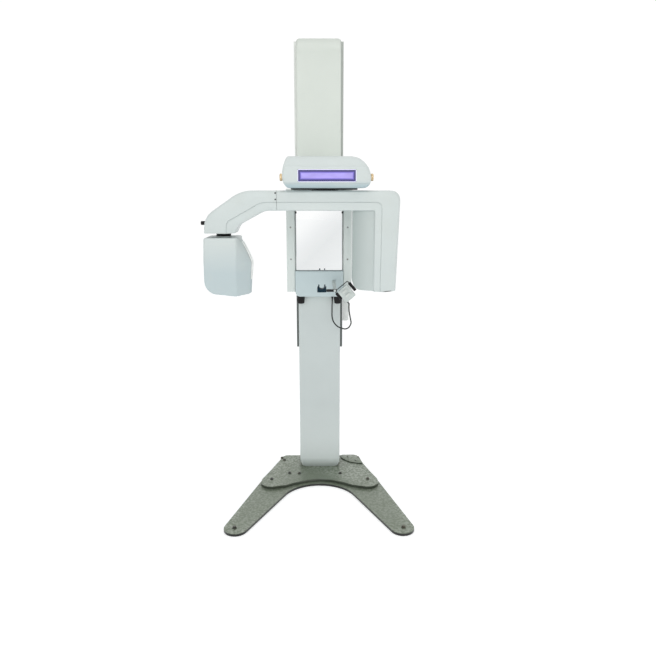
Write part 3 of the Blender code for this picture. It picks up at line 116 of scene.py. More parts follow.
# ---------------------------------------------------------------- material tools
class Look:
    """A node material being put together: one Principled shader and the nodes that feed it."""

    def __init__(self, name, roughness=0.4, metallic=0.0, **sockets):
        self.material = bpy.data.materials.new(name)
        self.material.use_nodes = True
        self.tree = self.material.node_tree
        self.shader = self.tree.nodes["Principled BSDF"]
        self.shader.inputs["Roughness"].default_value = roughness
        self.shader.inputs["Metallic"].default_value = metallic
        for socket, value in sockets.items():
            self.shader.inputs[socket.replace("_", " ")].default_value = value
        self.place = self.tree.nodes.new("ShaderNodeTexCoord").outputs["Object"]

    def feed(self, socket, value):
        if isinstance(value, bpy.types.NodeSocket):
            self.tree.links.new(value, socket)
        elif isinstance(value, tuple) and len(value) == 3 and socket.type == "RGBA":
            socket.default_value = (*value, 1.0)
        else:
            socket.default_value = value

    def node(self, kind, **inputs):
        made = self.tree.nodes.new("ShaderNode" + kind)
        for socket, value in inputs.items():
            self.feed(made.inputs[socket.replace("_", " ")], value)
        return made

    def stretched(self, x, y, z):
        """Object coordinates scaled per axis, for brushed or streaked patterns."""
        return self.node("Mapping", Vector=self.place, Scale=(x, y, z)).outputs["Vector"]

    def noise(self, scale, detail=3.0, place=None):
        return self.node("TexNoise", Vector=place or self.place, Scale=scale, Detail=detail).outputs["Fac"]

    def cells(self, scale):
        return self.node("TexVoronoi", Vector=self.place, Scale=scale).outputs["Distance"]

    def ramp(self, factor, *stops):
        """Colours or greys along a factor. Each stop is (position, colour or grey)."""
        made = self.node("ValToRGB", Fac=factor)
        elements = made.color_ramp.elements
        while len(elements) < len(stops):
            elements.new(0.5)
        for element, (position, colour) in zip(elements, stops):
            element.position = position
            shade = colour if isinstance(colour, tuple) else (colour, colour, colour)
            element.color = (*shade, 1.0)
        return made.outputs["Color"]

    def patches(self, scale, detail, *stops):
        """A ramp along noise."""
        return self.ramp(self.noise(scale, detail), *stops)

    def span(self, value, low, high, to_low=0.0, to_high=1.0):
        limits = {"From_Min": low, "From_Max": high, "To_Min": to_low, "To_Max": to_high}
        return self.node("MapRange", Value=value, **limits).outputs["Result"]

    def calc(self, operation, a, b=0.0):
        made = self.node("Math")
        made.operation = operation
        self.feed(made.inputs[0], a)
        self.feed(made.inputs[1], b)
        return made.outputs["Value"]

    def axis(self, name):
        return self.node("SeparateXYZ", Vector=self.place).outputs[name]

    def mix(self, factor, a, b, blend="MIX"):
        made = self.node("MixRGB", Fac=factor, Color1=a, Color2=b)
        made.blend_type = blend
        return made.outputs["Color"]

    def bump(self, height, strength, distance, below=None):
        made = self.node("Bump", Height=height, Strength=strength, Distance=distance)
        if below:
            self.feed(made.inputs["Normal"], below)
        return made.outputs["Normal"]

    def grain(self, scale, detail, strength, distance, below=None):
        """Bumps from noise."""
        return self.bump(self.noise(scale, detail), strength, distance, below)

    def facing_up(self, normal="Normal"):
        """How far the surface faces up: 1 on top, -1 on an underside."""
        return self.node("SeparateXYZ", Vector=self.node("NewGeometry").outputs[normal]).outputs["Z"]

    def glow(self, colour, strength):
        self.feed(self.shader.inputs["Emission Color"], colour)
        self.shader.inputs["Emission Strength"].default_value = strength

    def worn_edges(self, low=0.51, high=0.56):
        """Where the surface turns a convex corner."""
        return self.ramp(self.node("NewGeometry").outputs["Pointiness"], (low, 0.0), (high, 1.0))

    def done(self, colour=None, roughness=None, normal=None):
        if colour is not None:
            self.feed(self.shader.inputs["Base Color"], colour)
        if roughness is not None:
            self.feed(self.shader.inputs["Roughness"], roughness)
        if normal is not None:
            self.feed(self.shader.inputs["Normal"], normal)
        return self.material


# ---------------------------------------------------------------- materials
def sheet_paint(name, colour, shade_tone, foot_light_and_dust=False):
    """Sprayed sheet metal: orange peel, cloudy tone, wipe marks in the gloss, painted shade and light that
    change with height, and near the floor a painted lightening with faint dust.
    """
    look = Look(name, roughness=0.36, Specular_IOR_Level=0.45)
    bright = tuple(min(1.0, c * 1.12) for c in colour)
    # Painted shade and light by height: the shade tone low down, a brighter band higher up, the plain colour
    # at the top.
    tone = look.ramp(look.span(look.axis("Z"), 0.9, 2.3), (0.0, shade_tone), (0.57, bright), (0.92, colour))
    cloud = look.patches(5.0, 4.0, (0.30, 0.955), (0.70, 1.0))
    tone = look.mix(1.0, tone, cloud, "MULTIPLY")
    specks = look.patches(640.0, 2.0, (0.25, 0.93), (0.42, 1.0))
    tone = look.mix(0.55, tone, specks, "MULTIPLY")
    if foot_light_and_dust:
        near_floor = look.span(look.axis("Z"), 0.03, 0.40, 0.75, 0.0)
        # Painted light: the paint turns lighter towards the floor to cancel the shade at the foot; faint real
        # dust follows.
        tone = look.mix(near_floor, tone, linear(0.890, 0.925, 0.918))
        dust = look.calc("MULTIPLY", near_floor, look.patches(32.0, 5.0, (0.50, 0.0), (0.85, 0.10)))
        tone = look.mix(dust, tone, linear(0.66, 0.68, 0.64))
    gloss = look.ramp(look.noise(1.0, 4.0, look.stretched(9.0, 9.0, 2.2)), (0.30, 0.30), (0.75, 0.46))
    peel = look.grain(420.0, 2.0, 0.10, 0.0006)
    return look.done(tone, gloss, look.grain(60.0, 2.0, 0.05, 0.001, peel))


def moulded_housing(name="moulded_housing", shade_tone=None, heights=(0.0, 0.0), recess=False):
    """Painted moulded covers: sprayed grain, soft tone changes, dull patches, and undersides darkened by a
    painted shade.

    Its shade tone is a painted shade, darker and cooler, that takes over from the first to the second of the
    heights.
    """
    look = Look(name, roughness=0.34, Specular_IOR_Level=0.45, Coat_Weight=0.12, Coat_Roughness=0.25)
    tone = look.patches(3.2, 3.0, (0.30, linear(0.782, 0.816, 0.812)), (0.70, linear(0.803, 0.832, 0.824)))
    if shade_tone:
        # Painted shade: the lower part turns to the darker, cooler shade tone.
        tone = look.mix(look.span(look.axis("Z"), *heights), tone, shade_tone)
    grain = look.patches(900.0, 2.0, (0.28, 0.945), (0.50, 1.0))
    tone = look.mix(0.6, tone, grain, "MULTIPLY")
    touched = look.patches(11.0, 5.0, (0.52, 0.0), (0.72, 0.35))
    tone = look.mix(touched, tone, linear(0.770, 0.796, 0.780))
    # Painted shade: faces that turn down get darker and bluer.
    tone = look.mix(look.span(look.facing_up(), -0.35, -0.95, 0.0, 0.45), tone, linear(0.50, 0.56, 0.58))
    if recess:
        tone = recessed_tone(look, tone)
    gloss = look.patches(14.0, 4.0, (0.30, 0.28), (0.72, 0.46))
    fine = look.grain(1100.0, 2.0, 0.09, 0.0004)
    return look.done(tone, gloss, look.grain(38.0, 2.0, 0.04, 0.0015, fine))


def recessed_tone(look, tone):
    """Greyer in the recess on the arm's inner side, where no light from above reaches."""
    depth = look.span(look.axis("Y"), AXIS_Y - 0.070, AXIS_Y - 0.030)
    deep = look.ramp(depth, (0.095, 0.0), (0.110, 0.30), (0.80, 0.85))
    deep = look.calc("MULTIPLY", deep, look.span(look.axis("X"), 0.145, 0.150))
    return look.mix(deep, tone, linear(0.600, 0.650, 0.640))


def hammertone():
    """Grey-green hammered enamel on steel plate: fine dimpled cells, a painted shade on the sides with a
    near-black painted shadow line at their foot, and a painted highlight with edge wear along the top edges.
    """
    look = Look("hammertone_enamel", roughness=0.38, metallic=0.2, Coat_Weight=0.30, Coat_Roughness=0.22)
    cells = look.cells(290.0)
    base = look.ramp(cells, (0.05, linear(0.425, 0.460, 0.405)), (0.55, linear(0.462, 0.496, 0.440)),
                     (0.95, linear(0.500, 0.532, 0.478)))
    mottle = look.patches(330.0, 4.0, (0.34, 0.84), (0.66, 1.06))
    base = look.mix(0.75, base, mottle, "MULTIPLY")
    broad = look.patches(7.0, 3.0, (0.30, linear(0.93, 0.95, 0.90)), (0.70, linear(0.99, 1.0, 0.985)))
    base = look.mix(1.0, base, broad, "MULTIPLY")
    # Painted shade: faces that stand upright turn dark, and near-black at their lowest part as a painted
    # shadow against the floor.
    facing = look.facing_up("True Normal")
    foot = look.span(look.axis("Z"), 0.0125, 0.0110)
    side = look.mix(foot, linear(0.270, 0.300, 0.255), linear(0.020, 0.024, 0.018))
    base = look.mix(look.span(facing, 0.15, 0.75), side, base)
    # Painted highlight and edge wear: the top faces' convex edges turn pale in patches.
    edge_highlight_and_wear = look.calc("MULTIPLY", look.worn_edges(), look.patches(90.0, 4.0, (0.42, 0.0), (0.62, 0.85)))
    edge_highlight_and_wear = look.calc("MULTIPLY", edge_highlight_and_wear, look.span(facing, 0.35, 0.80))
    base = look.mix(edge_highlight_and_wear, base, linear(0.66, 0.69, 0.64))
    gloss = look.patches(160.0, 3.0, (0.30, 0.30), (0.72, 0.52))
    dimples = look.bump(cells, 0.20, 0.0006)
    return look.done(base, gloss, look.grain(520.0, 3.0, 0.12, 0.0004, dimples))


def plated_steel(name="zinc_plated_steel", colour=(0.62, 0.63, 0.63), brush=(60.0, 60.0, 900.0)):
    """Bright plated or bare steel: fine turning marks, dull spots and a warm tinge in the plating."""
    look = Look(name, roughness=0.32, metallic=0.95)
    tone = look.patches(46.0, 4.0, (0.32, linear(*(c * 0.86 for c in colour))), (0.68, linear(*colour)))
    tinge = look.patches(17.0, 2.0, (0.45, 0.0), (0.80, 0.30))
    tone = look.mix(tinge, tone, linear(0.66, 0.61, 0.48))
    marks = look.noise(1.0, 3.0, look.stretched(*brush))
    gloss = look.ramp(marks, (0.30, 0.22), (0.75, 0.44))
    return look.done(tone, gloss, look.bump(marks, 0.12, 0.0003))


def rail_finish():
    """Guide rail: a dark streaked tone low down that turns to a light tone behind the carriage; on the
    right-hand rail the light tone is darker, a painted shade.
    """
    look = Look("rail_finish", roughness=0.36, metallic=0.0)
    streaks = look.noise(1.0, 4.0, look.stretched(500.0, 500.0, 4.0))
    dark = look.ramp(streaks, (0.30, linear(0.300, 0.325, 0.320)), (0.72, linear(0.420, 0.445, 0.440)))
    light = look.patches(24.0, 3.0, (0.30, linear(0.835, 0.850, 0.835)), (0.70, linear(0.865, 0.875, 0.860)))
    # Painted shade: the rail on the +X side gets a darker light tone.
    light = look.mix(look.span(look.axis("X"), -0.01, 0.01), light, linear(0.690, 0.710, 0.690))
    wobble = look.span(look.noise(30.0, 3.0), 0.0, 1.0, -0.03, 0.03)
    height = look.calc("ADD", look.axis("Z"), wobble)
    # Darker below, lighter above, with a soft uneven change behind the carriage.
    tone = look.mix(look.span(height, 1.30, 1.42), dark, light)
    gloss = look.ramp(streaks, (0.25, 0.24), (0.75, 0.42))
    return look.done(tone, gloss, look.bump(streaks, 0.10, 0.0003))


def cast_metal(name, colour, metallic):
    """Cast or milled alloy: sand-cast pits and a soft satin."""
    look = Look(name, roughness=0.5, metallic=metallic)
    tone = look.patches(60.0, 5.0, (0.30, linear(*(c * 0.88 for c in colour))), (0.70, linear(*colour)))
    gloss = look.patches(130.0, 3.0, (0.30, 0.40), (0.70, 0.62))
    return look.done(tone, gloss, look.grain(420.0, 4.0, 0.25, 0.0005))


def black_moulding(name, shade=0.034, roughness=(0.38, 0.56), grain=1300.0, depth=0.20):
    """Dark moulded plastic or rubber: spark-eroded grain and rubbed edges."""
    look = Look(name, roughness=0.5, Specular_IOR_Level=0.26)
    tone = look.patches(70.0, 4.0, (0.30, linear(shade, shade, shade * 1.05)),
                     (0.72, linear(shade + 0.035, shade + 0.037, shade + 0.042)))
    rubbed = look.calc("MULTIPLY", look.worn_edges(0.52, 0.60), 0.35)
    tone = look.mix(rubbed, tone, linear(0.26, 0.265, 0.27))
    gloss = look.patches(48.0, 3.0, (0.30, roughness[0]), (0.72, roughness[1]))
    return look.done(tone, gloss, look.grain(grain, 2.0, depth, 0.0003))


def coloured_moulding(name, colour, roughness=(0.30, 0.45), grain=1500.0, depth=0.12, shine=0.5):
    """Coloured moulded plastic with a fine grain and slightly uneven pigment."""
    look = Look(name, roughness=0.4, Specular_IOR_Level=shine)
    tone = look.patches(34.0, 4.0, (0.30, linear(*(c * 0.93 for c in colour))), (0.70, linear(*colour)))
    flecks = look.patches(700.0, 1.0, (0.26, 0.90), (0.44, 1.0))
    tone = look.mix(0.5, tone, flecks, "MULTIPLY")
    gloss = look.patches(26.0, 3.0, (0.30, roughness[0]), (0.72, roughness[1]))
    return look.done(tone, gloss, look.grain(grain, 2.0, depth, 0.0003))


def brass_finish(name="turned_brass", dark=(0.60, 0.49, 0.35), light=(0.88, 0.79, 0.63)):
    """Turned brass, browned in the hollows and polished on the rim."""
    look = Look(name, roughness=0.3, metallic=0.9)
    tone = look.patches(120.0, 4.0, (0.30, linear(*dark)), (0.70, linear(*light)))
    tone = look.mix(look.worn_edges(0.50, 0.58), tone, linear(0.96, 0.89, 0.76))
    gloss = look.patches(260.0, 2.0, (0.30, 0.22), (0.72, 0.42))
    return look.done(tone, gloss, look.grain(900.0, 2.0, 0.10, 0.0002))


def mirror_finish():
    """Silvered glass: clear, with faint wipe marks that only show in the gloss, and a painted reflection: a
    soft diagonal band of lighter and darker tone.
    """
    look = Look("silvered_glass", roughness=0.03, metallic=1.0)
    wipes = look.noise(1.0, 4.0, look.stretched(26.0, 26.0, 9.0))
    # Painted reflection: the tone changes in a soft band along the diagonal.
    slant = look.calc("SUBTRACT", look.axis("Z"), look.axis("X"))
    tone = look.ramp(
        look.span(slant, 1.03, 1.58), (0.0, linear(0.940, 0.948, 0.950)), (0.42, linear(0.905, 0.913, 0.915)),
        (0.58, linear(0.930, 0.937, 0.940)), (0.80, linear(0.985, 0.988, 0.988)),
    )
    gloss = look.ramp(wipes, (0.35, 0.020), (0.75, 0.050))
    return look.done(tone, gloss, look.grain(9.0, 2.0, 0.01, 0.001))


def lamp_panel():
    """Lit display panel: violet, brightest along its middle, with a dark border where the backlight ends."""
    look = Look("lamp_panel", roughness=0.16, Specular_IOR_Level=0.5, Coat_Weight=0.6, Coat_Roughness=0.08)
    middle = (WINDOW_LOW + WINDOW_HIGH) / 2
    half = (WINDOW_HIGH - WINDOW_LOW) / 2
    from_edge = []
    for axis, centre, reach in (("X", middle.x, half.x), ("Z", middle.z, half.z)):
        from_middle = look.calc("ABSOLUTE", look.calc("SUBTRACT", look.axis(axis), centre))
        from_edge.append(look.calc("SUBTRACT", reach, from_middle))
    edge = look.calc("MINIMUM", *from_edge)
    uneven = look.span(look.noise(14.0, 3.0), 0.0, 1.0, -0.0012, 0.0012)
    edge = look.calc("ADD", edge, uneven)
    glow = look.ramp(look.span(edge, 0.0, 0.020), (0.34, linear(0.190, 0.165, 0.450)),
                     (0.52, linear(0.480, 0.420, 0.860)), (0.74, linear(0.725, 0.672, 0.998)))
    patches = look.ramp(look.noise(1.0, 2.0, look.stretched(18.0, 18.0, 60.0)), (0.30, 0.86), (0.70, 1.04))
    glow = look.mix(1.0, glow, patches, "MULTIPLY")
    look.glow(glow, 0.92)
    return look.done(linear(0.12, 0.10, 0.22), None, look.grain(300.0, 1.0, 0.03, 0.0003))


def clear_glass():
    """Thick borosilicate glass of the X-ray tube."""
    look = Look("tube_glass", roughness=0.08, Transmission_Weight=0.7)
    tone = look.patches(20.0, 3.0, (0.30, linear(0.78, 0.84, 0.85)), (0.70, linear(0.86, 0.90, 0.90)))
    gloss = look.patches(60.0, 2.0, (0.30, 0.05), (0.70, 0.16))
    return look.done(tone, gloss, look.grain(40.0, 2.0, 0.04, 0.001))


def lead_jacket():
    """Dark PVC jacket of the lead: low sheen with slight drag marks."""
    look = Look("pvc_jacket", roughness=0.45, Specular_IOR_Level=0.5)
    tone = look.patches(140.0, 4.0, (0.30, linear(0.105, 0.122, 0.118)), (0.70, linear(0.165, 0.185, 0.180)))
    gloss = look.patches(90.0, 3.0, (0.30, 0.32), (0.70, 0.52))
    return look.done(tone, gloss, look.grain(1100.0, 2.0, 0.12, 0.0002))


def bezel_finish():
    """Translucent white rim of the display, with a painted glow that stands in for the panel's light shining
    through it.
    """
    look = Look("lit_bezel", roughness=0.3)
    tone = look.patches(60.0, 3.0, (0.30, linear(0.87, 0.86, 0.97)), (0.70, linear(0.91, 0.90, 0.99)))
    # Painted light: the rim glows though it is no lamp.
    look.glow(tone, 0.40)
    return look.done(tone, None, look.grain(700.0, 2.0, 0.08, 0.0003))


def floor_finish():
    """Plain pale studio floor with a barely visible tone."""
    look = Look("studio_floor", roughness=0.7, Specular_IOR_Level=0.2)
    tone = look.patches(1.5, 3.0, (0.30, linear(0.945, 0.948, 0.948)), (0.70, linear(0.955, 0.958, 0.958)))
    look.glow(tone, 0.42)
    return look.done(tone, None, look.grain(160.0, 2.0, 0.02, 0.0005))


# The column's second colour is a painted shade tone for its lower part.
PAINT = sheet_paint("column_enamel", linear(0.812, 0.836, 0.808), linear(0.775, 0.808, 0.805), foot_light_and_dust=True)
STRIP_PAINT = sheet_paint("strip_enamel", linear(0.820, 0.846, 0.832), linear(0.820, 0.850, 0.840))
# Painted shade: a darker, cooler copy of the column paint for the console.
CONSOLE_PAINT = sheet_paint("console_enamel", linear(0.735, 0.790, 0.800), linear(0.735, 0.790, 0.800))
HOUSING = moulded_housing()
# Painted shade: the lower fronts of the head and of the tube head turn darker and cooler.
HEAD_HOUSING = moulded_housing("head_housing", linear(0.660, 0.735, 0.755), (1.597, 1.577))
TUBE_HOUSING = moulded_housing("tube_head_housing", linear(0.722, 0.775, 0.785), (1.330, 1.200))
ARM_HOUSING = moulded_housing("arm_housing", recess=True)
HAMMERTONE = hammertone()
STEEL = plated_steel()
DARK_STEEL = plated_steel("dull_steel", (0.40, 0.41, 0.395))
RAIL = rail_finish()
ALLOY = cast_metal("cast_alloy_grey", (0.62, 0.63, 0.63), 0.85)
ALUMINIUM = cast_metal("milled_aluminium", (0.78, 0.79, 0.79), 0.95)
TANK = cast_metal("tank_enamel", (0.40, 0.41, 0.43), 0.5)
BLACK = black_moulding("black_moulding")
RUBBER = black_moulding("black_rubber", 0.050, (0.55, 0.75), 700.0, 0.30)
GREY = coloured_moulding("grey_moulding", (0.800, 0.825, 0.812))
DARK_GREY = coloured_moulding("seal_moulding", (0.600, 0.625, 0.620))
KEYPAD = coloured_moulding("keypad_moulding", (0.815, 0.845, 0.832), (0.40, 0.52))
KEY = coloured_moulding("key_moulding", (0.845, 0.868, 0.850), (0.40, 0.55))
CHIN = coloured_moulding("chin_moulding", (0.060, 0.165, 0.215), (0.45, 0.60), shine=0.12)
SUPPORT = coloured_moulding("support_enamel", (0.760, 0.800, 0.790), (0.40, 0.52), 600.0, shine=0.3)
# Near-white, a painted light that makes up for the shade the wiring guard sits in; the beam window strip
# takes the same tone.
GUARD = coloured_moulding("guard_enamel", (0.985, 0.998, 0.988), (0.40, 0.52), 600.0)
BRASS = brass_finish()
DARK_BRASS = brass_finish("browned_brass", (0.27, 0.17, 0.08), (0.44, 0.30, 0.16))
MIRROR = mirror_finish()
LAMP = lamp_panel()
BEZEL = bezel_finish()
GLASS = clear_glass()
JACKET = lead_jacket()
FLOOR = floor_finish()

SLOT_LOOKS = {
    "column_paint": PAINT, "housing_plastic": HOUSING, "support_paint": SUPPORT, "brass": BRASS,
    "hammertone_paint": HAMMERTONE, "zinc_steel": STEEL, "rail_paint": RAIL, "aluminium": ALUMINIUM,
    "cast_alloy": ALLOY, "tank_paint": TANK, "black_plastic": BLACK, "grey_plastic": GREY,
    "keypad_plastic": KEYPAD, "chin_plastic": CHIN,
    "mirror_glass": MIRROR, "lamp_window": LAMP, "tube_glass": GLASS, "rubber": RUBBER, "lead_jacket": JACKET,
}


# ---------------------------------------------------------------- shape tools
def mesh_of(name, shape):
    """A mesh with a shape's faces. The shape itself is used up."""
    data = bpy.data.meshes.new(name)
    shape.to_mesh(data)
    shape.free()
    return data


def in_scene(name, data):
    """A new object in the scene that holds some data."""
    thing = bpy.data.objects.new(name, data)
    bpy.context.scene.collection.objects.link(thing)
    return thing


def add_piece(name, shape, material, body, replaces=(), smooth=32.0):
    """Puts a finished shape in the scene as a piece that rides on a body."""
    data = mesh_of(name, shape)
    data.materials.append(material)
    data.shade_smooth()
    data.set_sharp_from_angle(angle=math.radians(smooth))
    piece = in_scene(name, data)
    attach(piece, body)
    if replaces:
        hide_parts(*replaces)
    return piece


def add_wall(piece, thickness):
    """Gives an open skin its wall, inwards."""
    wall = piece.modifiers.new("wall", "SOLIDIFY")
    wall.thickness = thickness
    wall.offset = -1.0


def add_shell(name, skin, material, body, node, smooth):
    """A moulded cover: a skin with a wall inside it."""
    cover = add_piece(name, skin, material, body, (node,), smooth)
    add_wall(cover, 0.003)
    apply_modifiers(cover)
    return cover


def apply_modifiers(piece):
    bpy.context.view_layer.update()
    evaluated = piece.evaluated_get(bpy.context.evaluated_depsgraph_get())
    data = bpy.data.meshes.new_from_object(evaluated)
    old = piece.data
    piece.modifiers.clear()
    piece.data = data
    data.name = piece.name
    bpy.data.meshes.remove(old)


def cut(piece, *tools):
    """Cuts shapes out of a piece for good."""
    for tool in tools:
        cutter = in_scene("tool", mesh_of("tool", tool))
        boolean = piece.modifiers.new("cut", "BOOLEAN")
        boolean.operation = "DIFFERENCE"
        boolean.solver = "EXACT"
        boolean.object = cutter
        apply_modifiers(piece)
        bpy.data.objects.remove(cutter, do_unlink=True)
    piece.data.set_sharp_from_angle(angle=math.radians(32.0))


def joined(*shapes):
    """Several separate solids as one shape."""
    whole = bmesh.new()
    for shape in shapes:
        data = mesh_of("part", shape)
        whole.from_mesh(data)
        bpy.data.meshes.remove(data)
    return whole


def moved(shape, matrix):
    bmesh.ops.transform(shape, matrix=matrix, verts=shape.verts)
    return shape


def cad_shape(node):
    """A CAD node's mesh with its flat areas whole again."""
    shape = bmesh.new()
    shape.from_mesh(NODES[node].data)
    bmesh.ops.remove_doubles(shape, verts=shape.verts, dist=0.00002)
    bmesh.ops.dissolve_limit(shape, angle_limit=math.radians(0.4), verts=shape.verts, edges=shape.edges)
    return shape


def round_off(shape, edges, width, segments, clamp=False):
    bmesh.ops.bevel(
        shape, geom=edges, offset=width, segments=segments, profile=0.5, affect="EDGES", clamp_overlap=clamp
    )


def softened(shape, width, segments=2, angle=40.0):
    """Rounds every edge that turns more than the angle."""
    sharp = [e for e in shape.edges if e.is_manifold and e.calc_face_angle() > math.radians(angle)]
    round_off(shape, sharp, width, segments, True)
    return shape


def block(low, high, edge=0.0, segments=2):
    """A box with rounded edges."""
    shape = bmesh.new()
    bmesh.ops.create_cube(shape, size=1.0)
    low = Vector(low)
    high = Vector(high)
    bmesh.ops.scale(shape, vec=high - low, verts=shape.verts)
    bmesh.ops.translate(shape, vec=(low + high) / 2, verts=shape.verts)
    return softened(shape, edge, segments) if edge else shape


def loft(rings, start_cap=True, end_cap=True):
    """A skin over closed rings that have the same number of points."""
    shape = bmesh.new()
    loops = [[shape.verts.new(point) for point in ring] for ring in rings]
    for near, far in zip(loops, loops[1:]):
        for i in range(len(near)):
            j = (i + 1) % len(near)
            shape.faces.new((near[i], near[j], far[j], far[i]))
    if start_cap:
        shape.faces.new(list(reversed(loops[0])))
    if end_cap:
        shape.faces.new(loops[-1])
    bmesh.ops.recalc_face_normals(shape, faces=shape.faces)
    return shape


def circle(steps, height, radius_at):
    """A closed ring about Z. radius_at gives its radius at an angle."""
    angles = [2 * math.pi * i / steps for i in range(steps)]
    return [(radius_at(a) * math.cos(a), radius_at(a) * math.sin(a), height) for a in angles]


def turned(profile, steps=48, ripple=lambda angle, radius, height: 0.0):
    """A turned solid about Z. The profile is (radius, height) pairs; ripple cuts into a radius."""
    return loft([circle(steps, z, lambda a: r - ripple(a, r, z)) for r, z in profile])


def hexagon(angle, radius):
    """Distance from the middle of a hexagon to its side. radius reaches the corners."""
    side = angle % (math.pi / 3) - math.pi / 6
    return radius * math.cos(math.pi / 6) / math.cos(side)


FACING = {
    "-Y": Matrix.Rotation(math.radians(90.0), 4, "X"), "+Y": Matrix.Rotation(math.radians(-90.0), 4, "X"),
    "+X": Matrix.Rotation(math.radians(90.0), 4, "Y"), "-X": Matrix.Rotation(math.radians(-90.0), 4, "Y"),
    "+Z": Matrix.Identity(4), "-Z": Matrix.Rotation(math.radians(180.0), 4, "X"),
}


def at(place, facing="+Z", turn=0.0):
    """The matrix that stands a turned solid at a place with its top facing a way."""
    return Matrix.Translation(Vector(place)) @ FACING[facing] @ Matrix.Rotation(math.radians(turn), 4, "Z")


def bore(radius, reach, steps, place, facing="+Z"):
    """A round tool that drills through a place."""
    return moved(turned([(radius, -reach), (radius, reach)], steps), at(place, facing))


def socket_screw(radius, height, steps=36, wrench=0.5):
    """A round screw head with a hexagon socket, standing on Z = 0."""
    rim = radius * 0.16
    depth = height * 0.62
    profile = [(radius, 0.0), (radius, height - rim), (radius - rim * 0.3, height - rim * 0.3)]
    rings = [circle(steps, z, lambda a: r) for r, z in profile + [(radius - rim, height)]]
    for inset, z in ((1.08, height), (1.0, height - 0.06 * radius), (1.0, height - depth)):
        rings.append(circle(steps, z, lambda a: hexagon(a, radius * wrench * inset)))
    return loft(rings)


def hexagon_bolt(radius, height, washer_r, washer_t):
    """A hexagon head with a chamfered top on a round washer, standing on Z = 0."""
    steps = 48
    washer = turned([(washer_r, 0.0), (washer_r, washer_t * 0.7), (washer_r * 0.96, washer_t)], steps)
    rings = []
    for share, z in ((1.0, 0.0), (1.0, height * 0.86), (0.97, height * 0.94), (0.86, height)):
        rings.append(circle(steps, washer_t + z, lambda a: min(hexagon(a, radius), radius * share)))
    return joined(washer, loft(rings))


def arc(centre, radius, start, end, count):
    """Points on an arc, angles in degrees, both ends included."""
    points = []
    for i in range(count):
        angle = math.radians(start + (end - start) * i / (count - 1))
        points.append((centre[0] + radius * math.cos(angle), centre[1] + radius * math.sin(angle)))
    return points


def slab(outline, low, high, edge, segments=3):
    """A plate with rounded edges over a flat outline."""
    shape = bmesh.new()
    face = shape.faces.new([shape.verts.new((x, y, low)) for x, y in outline])
    made = bmesh.ops.extrude_face_region(shape, geom=[face])
    lifted = [item for item in made["geom"] if isinstance(item, bmesh.types.BMVert)]
    bmesh.ops.translate(shape, vec=(0.0, 0.0, high - low), verts=lifted)
    bmesh.ops.recalc_face_normals(shape, faces=shape.faces)
    return softened(shape, edge, segments, 50.0)


def smooth_line(points, steps, phantom_start=None, phantom_end=None):
    """Catmull-Rom points through a list of places."""
    knots = [Vector(p) for p in points]
    first = Vector(phantom_start) if phantom_start else 2 * knots[0] - knots[1]
    last = Vector(phantom_end) if phantom_end else 2 * knots[-1] - knots[-2]
    knots = [first] + knots + [last]
    line = []
    for p0, p1, p2, p3 in zip(knots, knots[1:], knots[2:], knots[3:]):
        for step in range(steps):
            t = step / steps
            line.append(
                0.5 * (2 * p1 + (p2 - p0) * t + (2 * p0 - 5 * p1 + 4 * p2 - p3) * t ** 2
                       + (3 * p1 - 3 * p2 + p3 - p0) * t ** 3)
            )
    line.append(knots[-2])
    return line


def wire_curve(name, radius, resolution, material, kind, count):
    """Curve of a round wire with filled caps, and its points, to be placed before it goes in the scene."""
    curve = bpy.data.curves.new(name, "CURVE")
    curve.dimensions = "3D"
    curve.bevel_depth = radius
    curve.bevel_resolution = resolution
    curve.use_fill_caps = True
    curve.materials.append(material)
    spline = curve.splines.new(kind)
    points = spline.bezier_points if kind == "BEZIER" else spline.points
    points.add(count - 1)
    return curve, points


def add_wire(name, curve, body):
    """Puts a finished curve in the scene as a piece that rides on a body."""
    wire = in_scene(name, curve)
    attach(wire, body)
    return wire


def round_cord(name, route, radius, material, body):
    """A cord on one smooth Bezier curve through its route."""
    curve, points = wire_curve(name, radius, 7, material, "BEZIER", len(route))
    curve.resolution_u = 8
    for point, place in zip(points, route):
        point.co = place
        point.handle_left_type = "AUTO"
        point.handle_right_type = "AUTO"
    return add_wire(name, curve, body)


# ---------------------------------------------------------------- camera, light and floor
def set_camera():
    data = bpy.data.cameras.new("camera")
    data.sensor_width = SENSOR_MM
    data.lens = LENS_MM
    data.clip_end = 60.0
    camera = in_scene("camera", data)
    camera.location = CAMERA_AT
    camera.rotation_euler = (math.radians(90.0 - CAMERA_PITCH), 0.0, math.radians(CAMERA_YAW))
    bpy.context.scene.camera = camera


def add_softbox(name, place, target, size, power, colour=(1.0, 1.0, 1.0)):
    data = bpy.data.lights.new(name, "AREA")
    data.shape = "RECTANGLE"
    data.size, data.size_y = size
    data.energy = power
    data.color = colour
    lamp = in_scene(name, data)
    lamp.location = place
    aim = Vector(target) - Vector(place)
    lamp.rotation_euler = aim.to_track_quat("-Z", "Y").to_euler()


ROOM_LIGHT = 0.58                # brightness of the room round the camera
WALL_LIGHT = 1.03                # brightness of the white wall behind the machine
FRONT_POWER = 48.0               # watts
TOP_POWER = 42.0                 # watts


